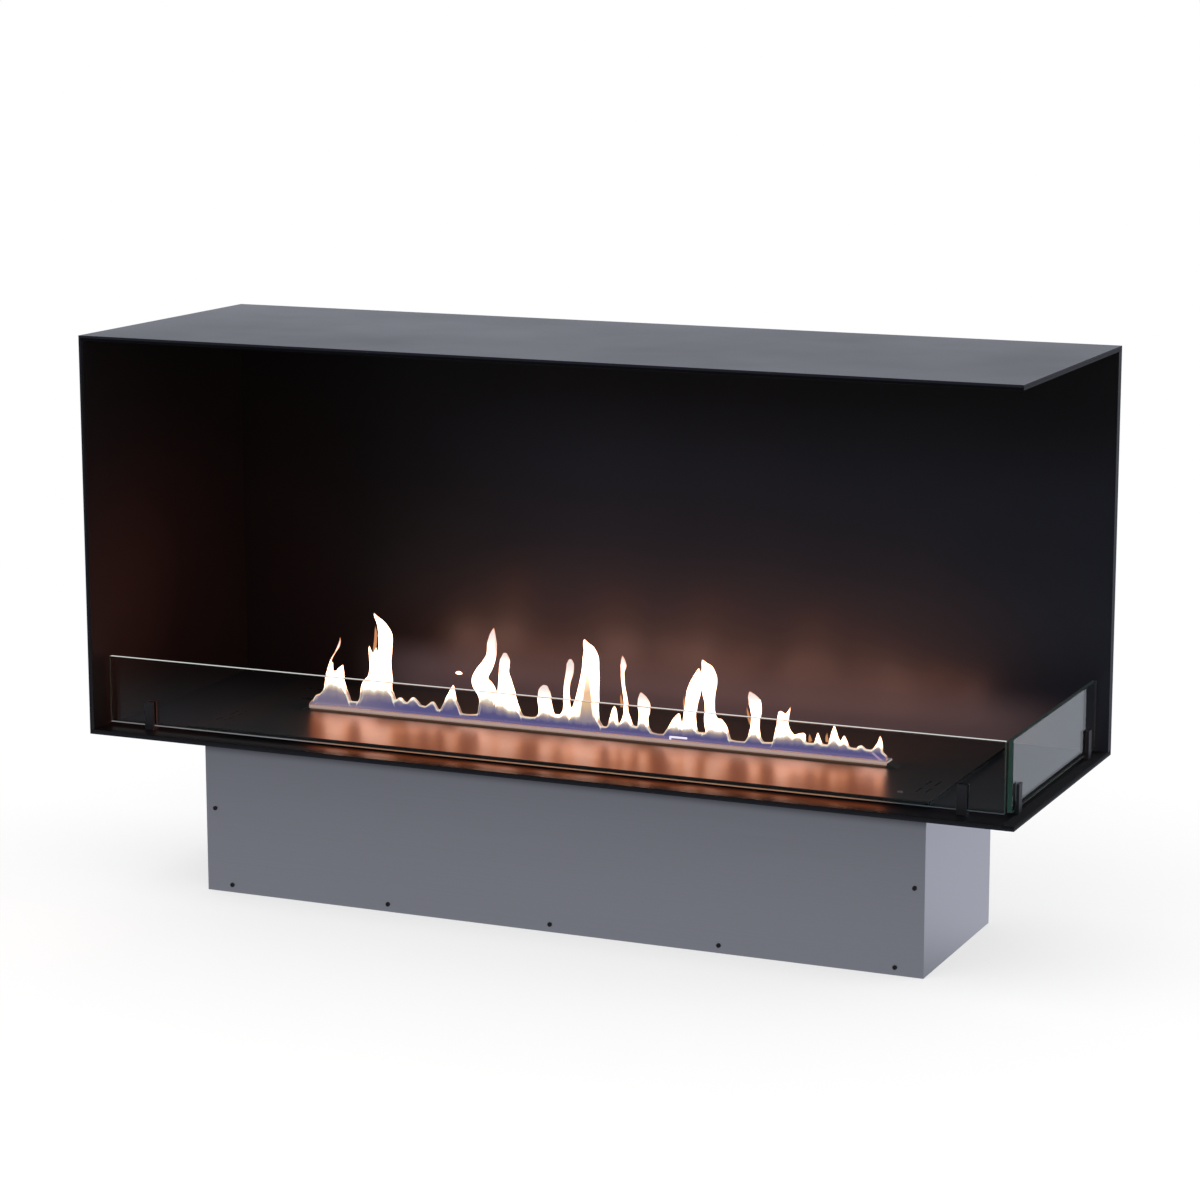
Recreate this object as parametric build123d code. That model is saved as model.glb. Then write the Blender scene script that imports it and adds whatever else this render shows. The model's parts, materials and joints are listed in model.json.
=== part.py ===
from build123d import *
import os
from math import cos, radians, sin

# A bioethanol fireplace: a sheet steel firebox that is open at the front and at the right side,
# with a glass screen round both open sides and a line burner sunk in its floor.
# Millimetres. Z is up, the open front faces -Y and the open side faces +X.
# The origin is under the middle of the fireplace, on the surface that the burner box stands on.

# ---- casing ----
casing_width = 1200.0
casing_depth = 400.0
casing_height = 500.0
cover_sheet = 3.0            # outer skin
liner_sheet = 3.0            # inner skin
sheet_edge = 0.4             # rounding of both skins' edges
back_cavity = 7.0            # hollow between the two skins of the back wall
spacer_width = 40.0
spacer_count = 4
wall_nut_pitch_x = 900.0     # of the nuts, and of the two outer spacers behind them
wall_nut_pitch_z = 300.0
wall_nut_bore = 6.8          # tapping size of an M8 thread
wall_nut_body = 11.0
wall_nut_head = 15.0
wall_nut_head_depth = 4.0
wall_nut_play = 0.5          # round each nut's head in a spacer

# ---- burner box ----
box_end_inset = 125.0        # from the casing's ends
box_height = 205.0           # from the standing surface to the casing's underside
box_sheet = 2.0
box_edge = 0.3               # rounding of the panels' outer edges
box_flange = 20.0
box_top_flange = 15.0
box_bottom_lip = 18.0
front_rail_height = 29.0
panel_gap = 0.5              # under the casing
cutout_gap = 1.5             # round the box in the casing's floor
screw_diameter = 3.0
screw_socket = 2.0
screw_length = 8.0
screw_head_diameter = 5.5
screw_head_height = 1.6
screw_hole_play = 0.2
bottom_screw_count = 5
bottom_screw_inset = 35.0    # from the panel's ends
bottom_screw_height = 9.5
end_screw_inset = 12.5
end_screw_height = 107.0

# ---- burner top ----
plate_front_gap = 14.5       # behind the front glass
plate_end_overlap = 10.0     # past the box's ends
plate_side_overlap = 20.0    # past the box's front and back
plate_sheet = 3.0
gasket_thickness = 3.0
gasket_inset = 2.0           # behind the plate's edge
slot_end_inset = 101.0       # from the plate's ends
slot_width = 13.0
lip_wall = 3.5
lip_height = 5.0
lip_edge = 0.5               # chamfer
plinth_height = 2.5
plinth_inset = 1.0
ramp_length = 14.0
trough_wall = 1.5
trough_depth = 30.0
trough_flange = 8.0
wick_height = 12.0
wick_play = 0.5
vent_length = 22.0
vent_width = 3.0
vent_corner = 1.35
vent_inset = (17.0, 28.5)    # of the two lines of vents from the plate's ends
vent_front = (39.0, 74.0)    # of each line's two vents from the plate's front edge
shield_sheet = 1.0
shield_end = 4.0             # past the slot's ends
shield_width = 80.0
shield_gap = 21.0            # under the trough

# ---- igniter and flame sensor ----
igniter_inset = 6.0          # from the slot's right end
igniter_rod = 2.5
igniter_knee = 5.0           # of the rod's bend above the plate
igniter_reach = 12.0
igniter_rise = 9.0
holder_height = 10.0
sensor_x = 106.0
sensor_rod = 2.5
sensor_rise = 9.0            # of its bar above the plate
sensor_bar = 22.0

# ---- power button ----
button_radius = 3.4
button_inset = 45.0          # from the plate's right end
button_front = 30.5          # from the plate's front edge
button_proud = 1.0
button_play = 0.3
button_collar = 2.0
button_collar_play = 0.1     # under the plate
housing_wall = 0.6
housing_depth = 16.0
housing_gap = 0.8            # round the housing in the front rail
spring_wire = 0.5
spring_turns = 5.0

# ---- glass screen ----
glass_thickness = 6.0
glass_polish = 0.5           # chamfer of every edge
glass_height = 84.0
front_glass_setback = 28.0   # behind the casing's front
front_glass_left_gap = 7.5   # from the left liner
side_glass_setback = 14.5    # from the casing's open end
glass_corner_gap = 5.5       # between the two panes
side_glass_back_gap = 6.5
clip_width = 12.0
clip_leg = 3.5
clip_base = 3.0
clip_height = 35.5
clip_play = 0.3
clip_edge = 0.4              # rounding
pad_thickness = 2.0
front_clip_insets = (57.5, 49.0)   # from the pane's left and right ends
side_clip_insets = (19.5, 36.5)    # from the pane's front and back ends

# ---- fuel ----
tank_wall = 1.5
tank_corner = 10.0
tank_gap = 18.0              # from the box's left end, front and back
tank_top_gap = 16.0          # under the heat shield
tank_pump_gap = 53.0
tank_foot_height = 10.0
tank_foot_width = 40.0
tank_foot_inset = 60.0
neck_radius = 20.0
neck_wall = 2.0
neck_top_gap = 4.0           # under the hatch
hatch_size = 60.0
hatch_flange_gap = 1.0       # to the flanges of the box's left end and back
hatch_gap = 0.5
hatch_notch = 8.0
hatch_plug_depth = 5.0
hatch_plug_play = 1.0
hinge_roll_radius = 3.0      # of the leaf's rolled back edge
hinge_pin_radius = 1.5
hinge_play = 0.05
hinge_ear = 4.0
hinge_ear_gap = 0.4
level_stem_radius = 3.0
level_flange_radius = 15.0
level_flange_height = 3.0
float_radius = 13.0
float_height = 18.0
float_play = 0.4
float_stop = 10.0            # of the lower stop above the tank's floor
float_stop_height = 2.0

# ---- pump, valve and pipes ----
pump_block = 44.0
pump_supply_gap = 101.0      # from the pump to the power supply
pump_head = 33.0
pump_base_height = 8.0
pump_motor_radius = 18.0
pump_motor_length = 70.0
pump_motor_rise = 1.0        # of the motor over the pump's base
pump_height = 46.0
valve_block = 30.0
valve_top_gap = 34.0         # under the heat shield
coil_radius = 13.0
coil_length = 34.0
pipe_radius = 3.0
pipe_bore = 2.0
pipe_play = 0.5              # in the heat shield
hose_height = 28.0           # above the box's floor

# ---- electrics ----
board_length = 120.0
board_width = 80.0
board_thickness = 1.6
board_right_gap = 60.0
standoff_height = 8.0
standoff_radius = 3.0
standoff_inset = 6.0
part_gap = 12.0              # from the parts on the board to its edges
relay_length = 19.0
relay_width = 15.0
relay_height = 15.0
can_radius = 6.0
can_height = 18.0
chip_size = 14.0
chip_height = 2.0
terminal_length = 60.0
terminal_width = 9.0
terminal_height = 12.0
supply_length = 110.0
supply_width = 60.0
supply_height = 36.0
supply_gap = 40.0            # from the board
fan_rim = 2.0                # between the bore and the frame's sides
fan_depth = 20.0
fan_right_gap = 73.0         # from the box's right end to the fan's middle
fan_height = 90.0            # of its middle above the standing surface
fan_bore_radius = 28.0
fan_tip_gap = 1.0
fan_hub_radius = 11.0
fan_shaft_radius = 2.0
fan_shaft_play = 0.05
fan_blades = 7
fan_blade_thickness = 1.5
fan_blade_width = 10.5
fan_blade_pitch = 35.0
fan_back_wall = 3.0
grille_slot = 3.0
grille_rows = 7
inlet_right_gap = 153.0      # from the box's right end to the inlet's middle
inlet_height = 60.0
inlet_width = 27.0
inlet_tall = 20.0
inlet_depth = 22.0
inlet_wall = 1.5
inlet_flange = 3.0
inlet_flange_thickness = 2.0
inlet_pin_recess = 5.0
inlet_pin_pitch = 7.0
inlet_pin_width = 2.0
inlet_pin_tall = 4.0
switch_right_gap = 203.0     # from the box's right end to the switch's middle
switch_width = 21.0
switch_tall = 15.0
switch_depth = 14.0
switch_wall = 1.2
rocker_play = 0.6
rocker_tilt = 12.0
rocker_bore_play = 0.05
panel_fit = 0.2              # of parts pushed into the back panel

# ---- levels and edges that follow ----
base_z = box_height
floor_z = base_z + cover_sheet + liner_sheet
top_z = base_z + casing_height
plate_z = floor_z + gasket_thickness
plate_top = plate_z + plate_sheet
left_x = -casing_width / 2
right_x = casing_width / 2
front_y = -casing_depth / 2
back_y = casing_depth / 2
wall_thickness = cover_sheet + liner_sheet
inner_left_x = left_x + wall_thickness
inner_back_y = back_y - cover_sheet - back_cavity - liner_sheet
burner_y = (front_y + inner_back_y) / 2
box_length = casing_width - 2 * box_end_inset
plate_length = box_length + 2 * plate_end_overlap
plate_depth = 2 * (burner_y - (front_y + front_glass_setback + glass_thickness + plate_front_gap))
box_depth = plate_depth - 2 * plate_side_overlap
slot_length = plate_length - 2 * slot_end_inset
box_front_y = burner_y - box_depth / 2
box_back_y = burner_y + box_depth / 2
box_end_x = box_length / 2
box_inner_x = box_end_x - box_sheet
box_inner_front_y = box_front_y + box_sheet
box_inner_back_y = box_back_y - box_sheet
plate_front_y = burner_y - plate_depth / 2
plate_end_x = plate_length / 2
lip_length = slot_length + 2 * lip_wall
lip_width = slot_width + 2 * lip_wall
trough_floor_z = plate_top - trough_depth
shield_low = trough_floor_z - shield_gap
button_x = plate_end_x - button_inset
fan_x = box_inner_x - fan_right_gap
inlet_x = box_inner_x - inlet_right_gap
switch_x = box_inner_x - switch_right_gap
board_x1 = box_inner_x - board_right_gap
board_x0 = board_x1 - board_length
supply_x1 = board_x0 - supply_gap
supply_x0 = supply_x1 - supply_length
pump_x = supply_x0 - pump_supply_gap - pump_block / 2
valve_high = shield_low - valve_top_gap
valve_low = valve_high - valve_block


def block(x0, x1, y0, y1, z0, z1):
    """A box between two corners."""
    return Pos((x0 + x1) / 2, (y0 + y1) / 2, (z0 + z1) / 2) * Box(x1 - x0, y1 - y0, z1 - z0)


def sheet(x0, x1, y0, y1, z0, z1):
    """A flat sheet between two corners, with its edges rounded."""
    return fillet(block(x0, x1, y0, y1, z0, z1).edges(), sheet_edge)


def centred(x, y, length, width, z0, z1):
    """A box about an upright centre line."""
    return block(x - length / 2, x + length / 2, y - width / 2, y + width / 2, z0, z1)


def upright(x, y, radius, z0, z1):
    """A cylinder along Z."""
    return Pos(x, y, (z0 + z1) / 2) * Cylinder(radius, z1 - z0)


def across(x, z, radius, y0, y1):
    """A cylinder along Y."""
    return Pos(x, (y0 + y1) / 2, z) * Rot(90, 0, 0) * Cylinder(radius, y1 - y0)


def along(y, z, radius, x0, x1):
    """A cylinder along X."""
    return Pos((x0 + x1) / 2, y, z) * Rot(0, 90, 0) * Cylinder(radius, x1 - x0)


def group(pieces):
    """Separate solids that share one node."""
    return Compound(children=list(pieces))


def spread(count, pitch):
    """Places about zero at an even pitch."""
    return [(i - (count - 1) / 2) * pitch for i in range(count)]


# ---- casing ----

def floor_cutout(z0, z1):
    """The hole in the casing's floor that the burner box hangs through."""
    return centred(0, burner_y, box_length + 2 * cutout_gap, box_depth + 2 * cutout_gap, z0, z1)


def casing():
    under_top = top_z - cover_sheet
    over_base = base_z + cover_sheet
    parts = {}
    parts["top_cover"] = sheet(left_x, right_x, front_y, back_y, under_top, top_z)
    parts["top_liner"] = sheet(left_x + cover_sheet, right_x, front_y, back_y - cover_sheet,
                               under_top - liner_sheet, under_top)
    parts["left_cover"] = sheet(left_x, left_x + cover_sheet, front_y, back_y, over_base, under_top)
    parts["left_liner"] = sheet(left_x + cover_sheet, inner_left_x, front_y, back_y - cover_sheet,
                                floor_z, under_top - liner_sheet)
    cover = sheet(left_x, right_x, front_y, back_y, base_z, over_base)
    parts["base_cover"] = cover - floor_cutout(base_z, over_base)
    liner = sheet(left_x + cover_sheet, right_x, front_y, back_y - cover_sheet, over_base, floor_z)
    parts["floor_liner"] = liner - floor_cutout(over_base, floor_z)
    return parts


def wall_nut_places():
    middle_z = base_z + casing_height / 2
    return [(x, middle_z + z) for x in spread(2, wall_nut_pitch_x) for z in spread(2, wall_nut_pitch_z)]


def back_wall():
    cavity_front = inner_back_y + liner_sheet
    cavity_back = back_y - cover_sheet
    low = floor_z
    high = top_z - wall_thickness
    cover = sheet(left_x + cover_sheet, right_x, cavity_back, back_y,
                  base_z + cover_sheet, top_z - cover_sheet)
    nuts = []
    for x, z in wall_nut_places():
        cover -= across(x, z, wall_nut_body / 2, cavity_back, back_y)
        nut = across(x, z, wall_nut_body / 2, cavity_back, back_y)
        nut += across(x, z, wall_nut_head / 2, cavity_back - wall_nut_head_depth, cavity_back)
        nuts.append(nut - across(x, z, wall_nut_bore / 2, cavity_back - wall_nut_head_depth, back_y))
    liner = block(inner_left_x, right_x, inner_back_y, cavity_front, low, high)
    liner += block(right_x - liner_sheet, right_x, cavity_front, cavity_back, low, high)
    spacers = [centred(x, (cavity_front + cavity_back) / 2, spacer_width, back_cavity, low, high)
               for x in spread(spacer_count, wall_nut_pitch_x / (spacer_count - 1))]
    for x, z in wall_nut_places():
        pocket = across(x, z, wall_nut_head / 2 + wall_nut_play, cavity_front, cavity_back)
        spacers = [spacer - pocket for spacer in spacers]
    return {"back_cover": cover, "back_liner": liner, "back_spacers": group(spacers),
            "wall_fixing_nuts": group(nuts)}


# ---- glass screen ----

def glass_screen():
    low = floor_z + clip_base + pad_thickness
    high = low + glass_height
    side_x1 = right_x - side_glass_setback
    side_x0 = side_x1 - glass_thickness
    front_y0 = front_y + front_glass_setback
    front_y1 = front_y0 + glass_thickness
    front_x0 = inner_left_x + front_glass_left_gap
    side_y0 = front_y1 + glass_corner_gap
    side_y1 = inner_back_y - side_glass_back_gap
    front = block(front_x0, side_x0, front_y0, front_y1, low, high)
    side = block(side_x0, side_x1, side_y0, side_y1, low, high)
    parts = {"front_glass": chamfer(front.edges(), glass_polish),
             "side_glass": chamfer(side.edges(), glass_polish)}
    room = glass_thickness + 2 * clip_play
    outer = room + 2 * clip_leg

    def clip(x, y, wide_x, wide_y, room_x, room_y):
        body = centred(x, y, wide_x, wide_y, floor_z, floor_z + clip_height)
        body = fillet(body.edges(), clip_edge)
        return body - centred(x, y, room_x, room_y, floor_z + clip_base, floor_z + clip_height)

    pads = []
    pane_y = (front_y0 + front_y1) / 2
    pane_x = (side_x0 + side_x1) / 2
    pad_z = floor_z + clip_base
    for name, x in (("front_clip_left", front_x0 + front_clip_insets[0]),
                    ("front_clip_right", side_x0 - front_clip_insets[1])):
        parts[name] = clip(x, pane_y, clip_width, outer, clip_width, room)
        pads.append(centred(x, pane_y, clip_width, glass_thickness, pad_z, pad_z + pad_thickness))
    for name, y in (("side_clip_front", side_y0 + side_clip_insets[0]),
                    ("side_clip_rear", side_y1 - side_clip_insets[1])):
        parts[name] = clip(pane_x, y, outer, clip_width, room, clip_width)
        pads.append(centred(pane_x, y, glass_thickness, clip_width, pad_z, pad_z + pad_thickness))
    parts["clip_pads"] = group(pads)
    return parts


# ---- burner box ----

def panel_screw_places():
    pitch = (box_length - 2 * bottom_screw_inset) / (bottom_screw_count - 1)
    bottom = [(x, bottom_screw_height) for x in spread(bottom_screw_count, pitch)]
    ends = [(side * (box_end_x - end_screw_inset), end_screw_height) for side in (-1, 1)]
    return bottom + ends


def drill_for_screws(sheet, y0, y1):
    """Screw holes through an upright sheet behind the front panel's screws."""
    for x, z in panel_screw_places():
        sheet -= across(x, z, screw_diameter / 2 + screw_hole_play, y0, y1)
    return sheet


def end_panel(side):
    """One end of the box, with flanges turned in at its front and top."""
    outer = side * box_end_x
    inner = side * box_inner_x
    turned = side * (box_inner_x - box_flange)
    x0, x1 = sorted((outer, inner))
    f0, f1 = sorted((inner, turned))
    rear = box_inner_front_y + box_sheet
    panel = block(x0, x1, box_inner_front_y, box_inner_back_y, 0, plate_z)
    outer_face = panel.faces().sort_by(Axis.X)[-1 if side > 0 else 0]
    panel = fillet(outer_face.edges(), box_edge)
    panel += block(f0, f1, box_inner_front_y, rear, box_sheet, plate_z)
    panel += block(f0, f1, rear, box_inner_back_y, plate_z - box_sheet, plate_z)
    for x, y in vent_places():
        panel -= centred(x, y, vent_width, vent_length, plate_z - box_sheet, plate_z)
    return drill_for_screws(panel, box_inner_front_y, rear)


def back_panel():
    panel = block(-box_end_x, box_end_x, box_inner_back_y, box_back_y, 0, plate_z)
    panel = fillet(panel.edges().group_by(Axis.Y)[-1], box_edge)
    flange_x = box_inner_x - box_flange - cutout_gap
    panel += block(-flange_x, flange_x, box_inner_back_y - box_top_flange, box_inner_back_y,
                   plate_z - box_sheet, plate_z)
    for row in spread(grille_rows, 2 * fan_bore_radius / (grille_rows + 1)):
        half = (fan_bore_radius ** 2 - row ** 2) ** 0.5 - grille_slot
        panel -= block(fan_x - half, fan_x + half, box_inner_back_y, box_back_y,
                       fan_height + row - grille_slot / 2, fan_height + row + grille_slot / 2)
    panel -= centred(inlet_x, (box_inner_back_y + box_back_y) / 2, inlet_width + 2 * panel_fit, box_sheet,
                     inlet_height - inlet_tall / 2 - panel_fit, inlet_height + inlet_tall / 2 + panel_fit)
    panel -= centred(switch_x, (box_inner_back_y + box_back_y) / 2, switch_width + 2 * panel_fit, box_sheet,
                     inlet_height - switch_tall / 2 - panel_fit, inlet_height + switch_tall / 2 + panel_fit)
    return panel


def front_rail():
    rear = box_inner_front_y + box_sheet
    rail_x = box_inner_x - box_flange - cutout_gap
    rail = block(-rail_x, rail_x, box_inner_front_y, rear, plate_z - front_rail_height, plate_z)
    rail += block(-rail_x, rail_x, rear, rear + box_top_flange, plate_z - box_sheet, plate_z)
    return rail - upright(button_x, button_y(), button_housing_radius() + housing_gap,
                          plate_z - box_sheet, plate_z)


def bottom_panel():
    rear = box_inner_front_y + box_sheet
    lip_x = box_inner_x - box_flange - cutout_gap
    panel = block(-box_inner_x, box_inner_x, box_inner_front_y, box_inner_back_y, 0, box_sheet)
    panel += block(-lip_x, lip_x, box_inner_front_y, rear, box_sheet, box_bottom_lip)
    return drill_for_screws(panel, box_inner_front_y, rear)


def front_panel():
    panel = block(-box_end_x, box_end_x, box_front_y, box_inner_front_y, 0, box_height - panel_gap)
    panel = fillet(panel.edges().group_by(Axis.Y)[0], box_edge)
    return drill_for_screws(panel, box_front_y, box_inner_front_y)


def front_panel_screws():
    screws = []
    for x, z in panel_screw_places():
        head = across(x, z, screw_head_diameter / 2, box_front_y - screw_head_height, box_front_y)
        head = chamfer(head.edges().group_by(Axis.Y)[0], screw_head_height / 3)
        shank = across(x, z, screw_diameter / 2, box_front_y, box_front_y + screw_length)
        socket = across(x, z, screw_socket / 2, box_front_y - screw_head_height,
                        box_front_y - screw_head_height / 3)
        screws.append(head + shank - socket)
    return group(screws)


def burner_box():
    return {"box_left_end": end_panel(-1), "box_right_end": end_panel(1),
            "box_back_panel": back_panel(), "box_front_rail": front_rail(),
            "box_bottom_panel": bottom_panel(), "box_front_panel": front_panel(),
            "front_panel_screws": front_panel_screws()}


# ---- burner top ----

def button_y():
    return plate_front_y + button_front


def button_housing_radius():
    return button_radius + button_play + button_collar / 2 + housing_wall


def hatch_edges():
    """The hatch opening's left, right, front and back edges."""
    left = -box_inner_x + box_flange + hatch_flange_gap
    back = box_inner_back_y - box_top_flange - hatch_flange_gap - hinge_ear
    return left, left + hatch_size, back - hatch_size, back


def vent_places():
    """Middles of the narrow slots near both ends of the plate."""
    return [(side * (plate_end_x - inset), plate_front_y + front + vent_length / 2)
            for side in (-1, 1) for inset in vent_inset for front in vent_front]


def burner_plate():
    plate = centred(0, burner_y, plate_length, plate_depth, plate_z, plate_top)
    plate = fillet(plate.edges().group_by(Axis.Z)[-1], plate_sheet / 4)
    plate -= centred(0, burner_y, slot_length, slot_width, plate_z, plate_top)
    for x, y in vent_places():
        vent = centred(x, y, vent_width, vent_length, plate_z, plate_top)
        plate -= fillet(vent.edges().filter_by(Axis.Z), vent_corner)
    left, right, front, back = hatch_edges()
    plate -= block(left, right, front, back, plate_z, plate_top)
    return plate - upright(button_x, button_y(), button_radius + button_play, plate_z, plate_top)


def plate_gasket():
    """A dark ring between the casing's floor and the plate, open over the whole burner box."""
    ring = centred(0, burner_y, plate_length - 2 * gasket_inset, plate_depth - 2 * gasket_inset,
                   floor_z, plate_z)
    return ring - floor_cutout(floor_z, plate_z)


def slot_frame(margin, z0, z1):
    """A frame round the burner slot."""
    outer = centred(0, burner_y, slot_length + 2 * margin, slot_width + 2 * margin, z0, z1)
    return outer - centred(0, burner_y, slot_length, slot_width, z0, z1)


def end_ramp(side):
    """A low wedge that falls from the plinth's end to the plate."""
    end_x = lip_length / 2 - plinth_inset
    rise = plinth_height + lip_height / 2
    wedge = Polyline((end_x, 0), (end_x + ramp_length, 0), (end_x, rise), close=True)
    solid = extrude(make_face(Plane.XZ * wedge), lip_width / 2 - plinth_inset, both=True)
    solid = Pos(0, burner_y, plate_top) * solid
    solid -= slot_frame(lip_wall, plate_top + plinth_height, plate_top + plinth_height + lip_height)
    return solid if side > 0 else mirror(solid, Plane.YZ)


def burner_trough():
    floor = trough_floor_z
    trough = centred(0, burner_y, slot_length, slot_width, floor, plate_top)
    trough += centred(0, burner_y, slot_length + 2 * trough_flange, slot_width + 2 * trough_flange,
                      plate_z - trough_wall, plate_z)
    trough -= centred(0, burner_y, slot_length - 2 * trough_wall, slot_width - 2 * trough_wall,
                      floor + trough_wall, plate_top)
    return trough - upright(pump_x, burner_y, pipe_bore, floor, floor + trough_wall)


def igniter_x():
    return slot_length / 2 - igniter_inset


def wick():
    room = trough_wall + wick_play
    low = trough_floor_z + trough_wall
    length = slot_length - 2 * room
    holder_room = igniter_holder_size() + 2 * wick_play
    body = centred(0, burner_y, length, slot_width - 2 * room, low, low + wick_height)
    body -= block(igniter_x() - holder_room / 2, length, burner_y - slot_width, burner_y + slot_width,
                  low, low + wick_height)
    return body - upright(sensor_x, burner_y, sensor_rod / 2 + wick_play, low, low + wick_height)


def igniter_holder_size():
    return slot_width - 2 * (trough_wall + wick_play)


def igniter_holder():
    low = trough_floor_z + trough_wall
    size = igniter_holder_size()
    holder = centred(igniter_x(), burner_y, size, size, low, low + holder_height)
    return holder - upright(igniter_x(), burner_y, igniter_rod / 2, low + trough_wall, low + holder_height)


def bent_rod(points, radius):
    """A round rod with a ball at each bend."""
    rod = None
    for start, end in zip(points, points[1:]):
        run = Vector(*end) - Vector(*start)
        plane = Plane(origin=start, z_dir=run.normalized())
        piece = extrude(plane * Circle(radius), run.length)
        rod = piece if rod is None else rod + piece
    for bend in points[1:-1]:
        rod += Pos(*bend) * Sphere(radius)
    return rod


def igniter():
    x = igniter_x()
    low = trough_floor_z + 2 * trough_wall
    knee = plate_top + igniter_knee
    return bent_rod([(x, burner_y, low), (x, burner_y, knee),
                     (x - igniter_reach, burner_y, knee + igniter_rise)], igniter_rod / 2)


def flame_sensor():
    low = trough_floor_z + trough_wall
    high = plate_top + sensor_rise
    return bent_rod([(sensor_x, burner_y, low), (sensor_x, burner_y, high),
                     (sensor_x + sensor_bar, burner_y, high)], sensor_rod / 2)


def heat_shield():
    """A channel under the trough, open at both ends."""
    length = slot_length + 2 * shield_end
    floor = shield_low + shield_sheet
    outer = centred(0, burner_y, length, shield_width, shield_low, plate_z)
    inner = centred(0, burner_y, length, shield_width - 2 * shield_sheet, floor, plate_z)
    return outer - inner - upright(pump_x, burner_y, pipe_radius + pipe_play, shield_low, floor)


def power_button():
    x, y = button_x, button_y()
    collar_top = plate_z - button_collar_play
    stem = upright(x, y, button_radius, collar_top - button_collar, plate_top + button_proud)
    stem = fillet(stem.edges().group_by(Axis.Z)[-1], button_radius / 5)
    return stem + upright(x, y, button_radius + button_collar / 2, collar_top - button_collar, collar_top)


def button_housing():
    x, y = button_x, button_y()
    low = plate_z - housing_depth
    outer = upright(x, y, button_housing_radius(), low, plate_z)
    return outer - upright(x, y, button_housing_radius() - housing_wall, low + 2 * housing_wall, plate_z)


def button_spring():
    low = plate_z - housing_depth + 2 * housing_wall + spring_wire / 2
    high = plate_z - button_collar_play - button_collar - spring_wire / 2
    rise = high - low
    line = Helix(pitch=rise / spring_turns, height=rise, radius=button_radius - spring_wire)
    start = Plane(origin=line @ 0, z_dir=line % 0)
    return Pos(button_x, button_y(), low) * sweep(start * Circle(spring_wire / 2), path=line, is_frenet=True)


def burner_top():
    lip_low = plate_top + plinth_height
    lip = slot_frame(lip_wall, lip_low, lip_low + lip_height)
    lip = chamfer(lip.edges().group_by(Axis.Z)[-1], lip_edge)
    return {"burner_plate": burner_plate(), "plate_gasket": plate_gasket(), "burner_lip": lip,
            "lip_plinth": slot_frame(lip_wall - plinth_inset, plate_top, lip_low),
            "lip_end_ramps": group([end_ramp(-1), end_ramp(1)]),
            "burner_trough": burner_trough(), "ceramic_wick": wick(), "igniter_holder": igniter_holder(),
            "igniter_rod": igniter(), "flame_sensor": flame_sensor(), "heat_shield": heat_shield(),
            "power_button": power_button(), "button_housing": button_housing(),
            "button_spring": button_spring()}


# ---- fuel ----

tank_x0 = -box_inner_x + tank_gap
tank_x1 = pump_x - pump_block / 2 - tank_pump_gap
tank_y0 = box_inner_front_y + tank_gap
tank_y1 = box_inner_back_y - tank_gap
tank_z0 = box_sheet + tank_foot_height
tank_z1 = shield_low - tank_top_gap
level_x = (tank_x0 + tank_x1) / 2
hose_z = box_sheet + hose_height


def neck_place():
    left, right, front, back = hatch_edges()
    return (left + right) / 2, (front + back) / 2


def fuel_tank():
    outer = block(tank_x0, tank_x1, tank_y0, tank_y1, tank_z0, tank_z1)
    outer = fillet(outer.edges(), tank_corner)
    inner = block(tank_x0 + tank_wall, tank_x1 - tank_wall, tank_y0 + tank_wall, tank_y1 - tank_wall,
                  tank_z0 + tank_wall, tank_z1 - tank_wall)
    inner = fillet(inner.edges(), tank_corner - tank_wall)
    tank = outer - inner
    neck_x, neck_y = neck_place()
    tank -= upright(neck_x, neck_y, neck_radius - neck_wall, tank_z1 - tank_wall, tank_z1)
    tank -= upright(level_x, burner_y, level_stem_radius, tank_z1 - tank_wall, tank_z1)
    return tank - along(burner_y, hose_z, pipe_bore, tank_x1 - tank_wall, tank_x1)


def tank_feet():
    feet = []
    for x in (tank_x0 + tank_foot_inset, tank_x1 - tank_foot_inset):
        feet.append(block(x - tank_foot_width / 2, x + tank_foot_width / 2, tank_y0 + tank_corner,
                          tank_y1 - tank_corner, box_sheet, tank_z0))
    return group(feet)


def filler_neck():
    x, y = neck_place()
    high = plate_z - neck_top_gap
    tube = upright(x, y, neck_radius, tank_z1, high)
    return tube - upright(x, y, neck_radius - neck_wall, tank_z1, high)


def hinge_axis():
    """Y and Z of the hatch's pin: its roll is flush with the plate and just inside the opening."""
    left, right, front, back = hatch_edges()
    return back - hatch_gap - hinge_roll_radius, plate_top - hinge_roll_radius


def hinge_ends():
    """The left and right ends of the hatch's roll, between the two ears."""
    left, right, front, back = hatch_edges()
    inset = hatch_gap + hinge_ear + hinge_ear_gap
    return left + inset, right - inset


def hatch_leaf():
    left, right, front, back = hatch_edges()
    pin_y, pin_z = hinge_axis()
    x0, x1 = hinge_ends()
    ear_front = pin_y - hinge_roll_radius - hinge_ear_gap
    leaf = block(left + hatch_gap, right - hatch_gap, front + hatch_gap, ear_front, plate_z, plate_top)
    leaf += block(x0, x1, ear_front, pin_y, plate_z, plate_top)
    leaf += along(pin_y, pin_z, hinge_roll_radius, x0, x1)
    leaf -= upright((left + right) / 2, front + hatch_gap, hatch_notch, plate_z, plate_top)
    return leaf - along(pin_y, pin_z, hinge_pin_radius + hinge_play, x0, x1)


def hatch_plug():
    x, y = neck_place()
    low = plate_z - neck_top_gap - hatch_plug_depth
    plug = upright(x, y, neck_radius - neck_wall - hatch_plug_play, low, plate_z)
    return chamfer(plug.edges().group_by(Axis.Z)[0], hatch_plug_depth / 4)


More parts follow.
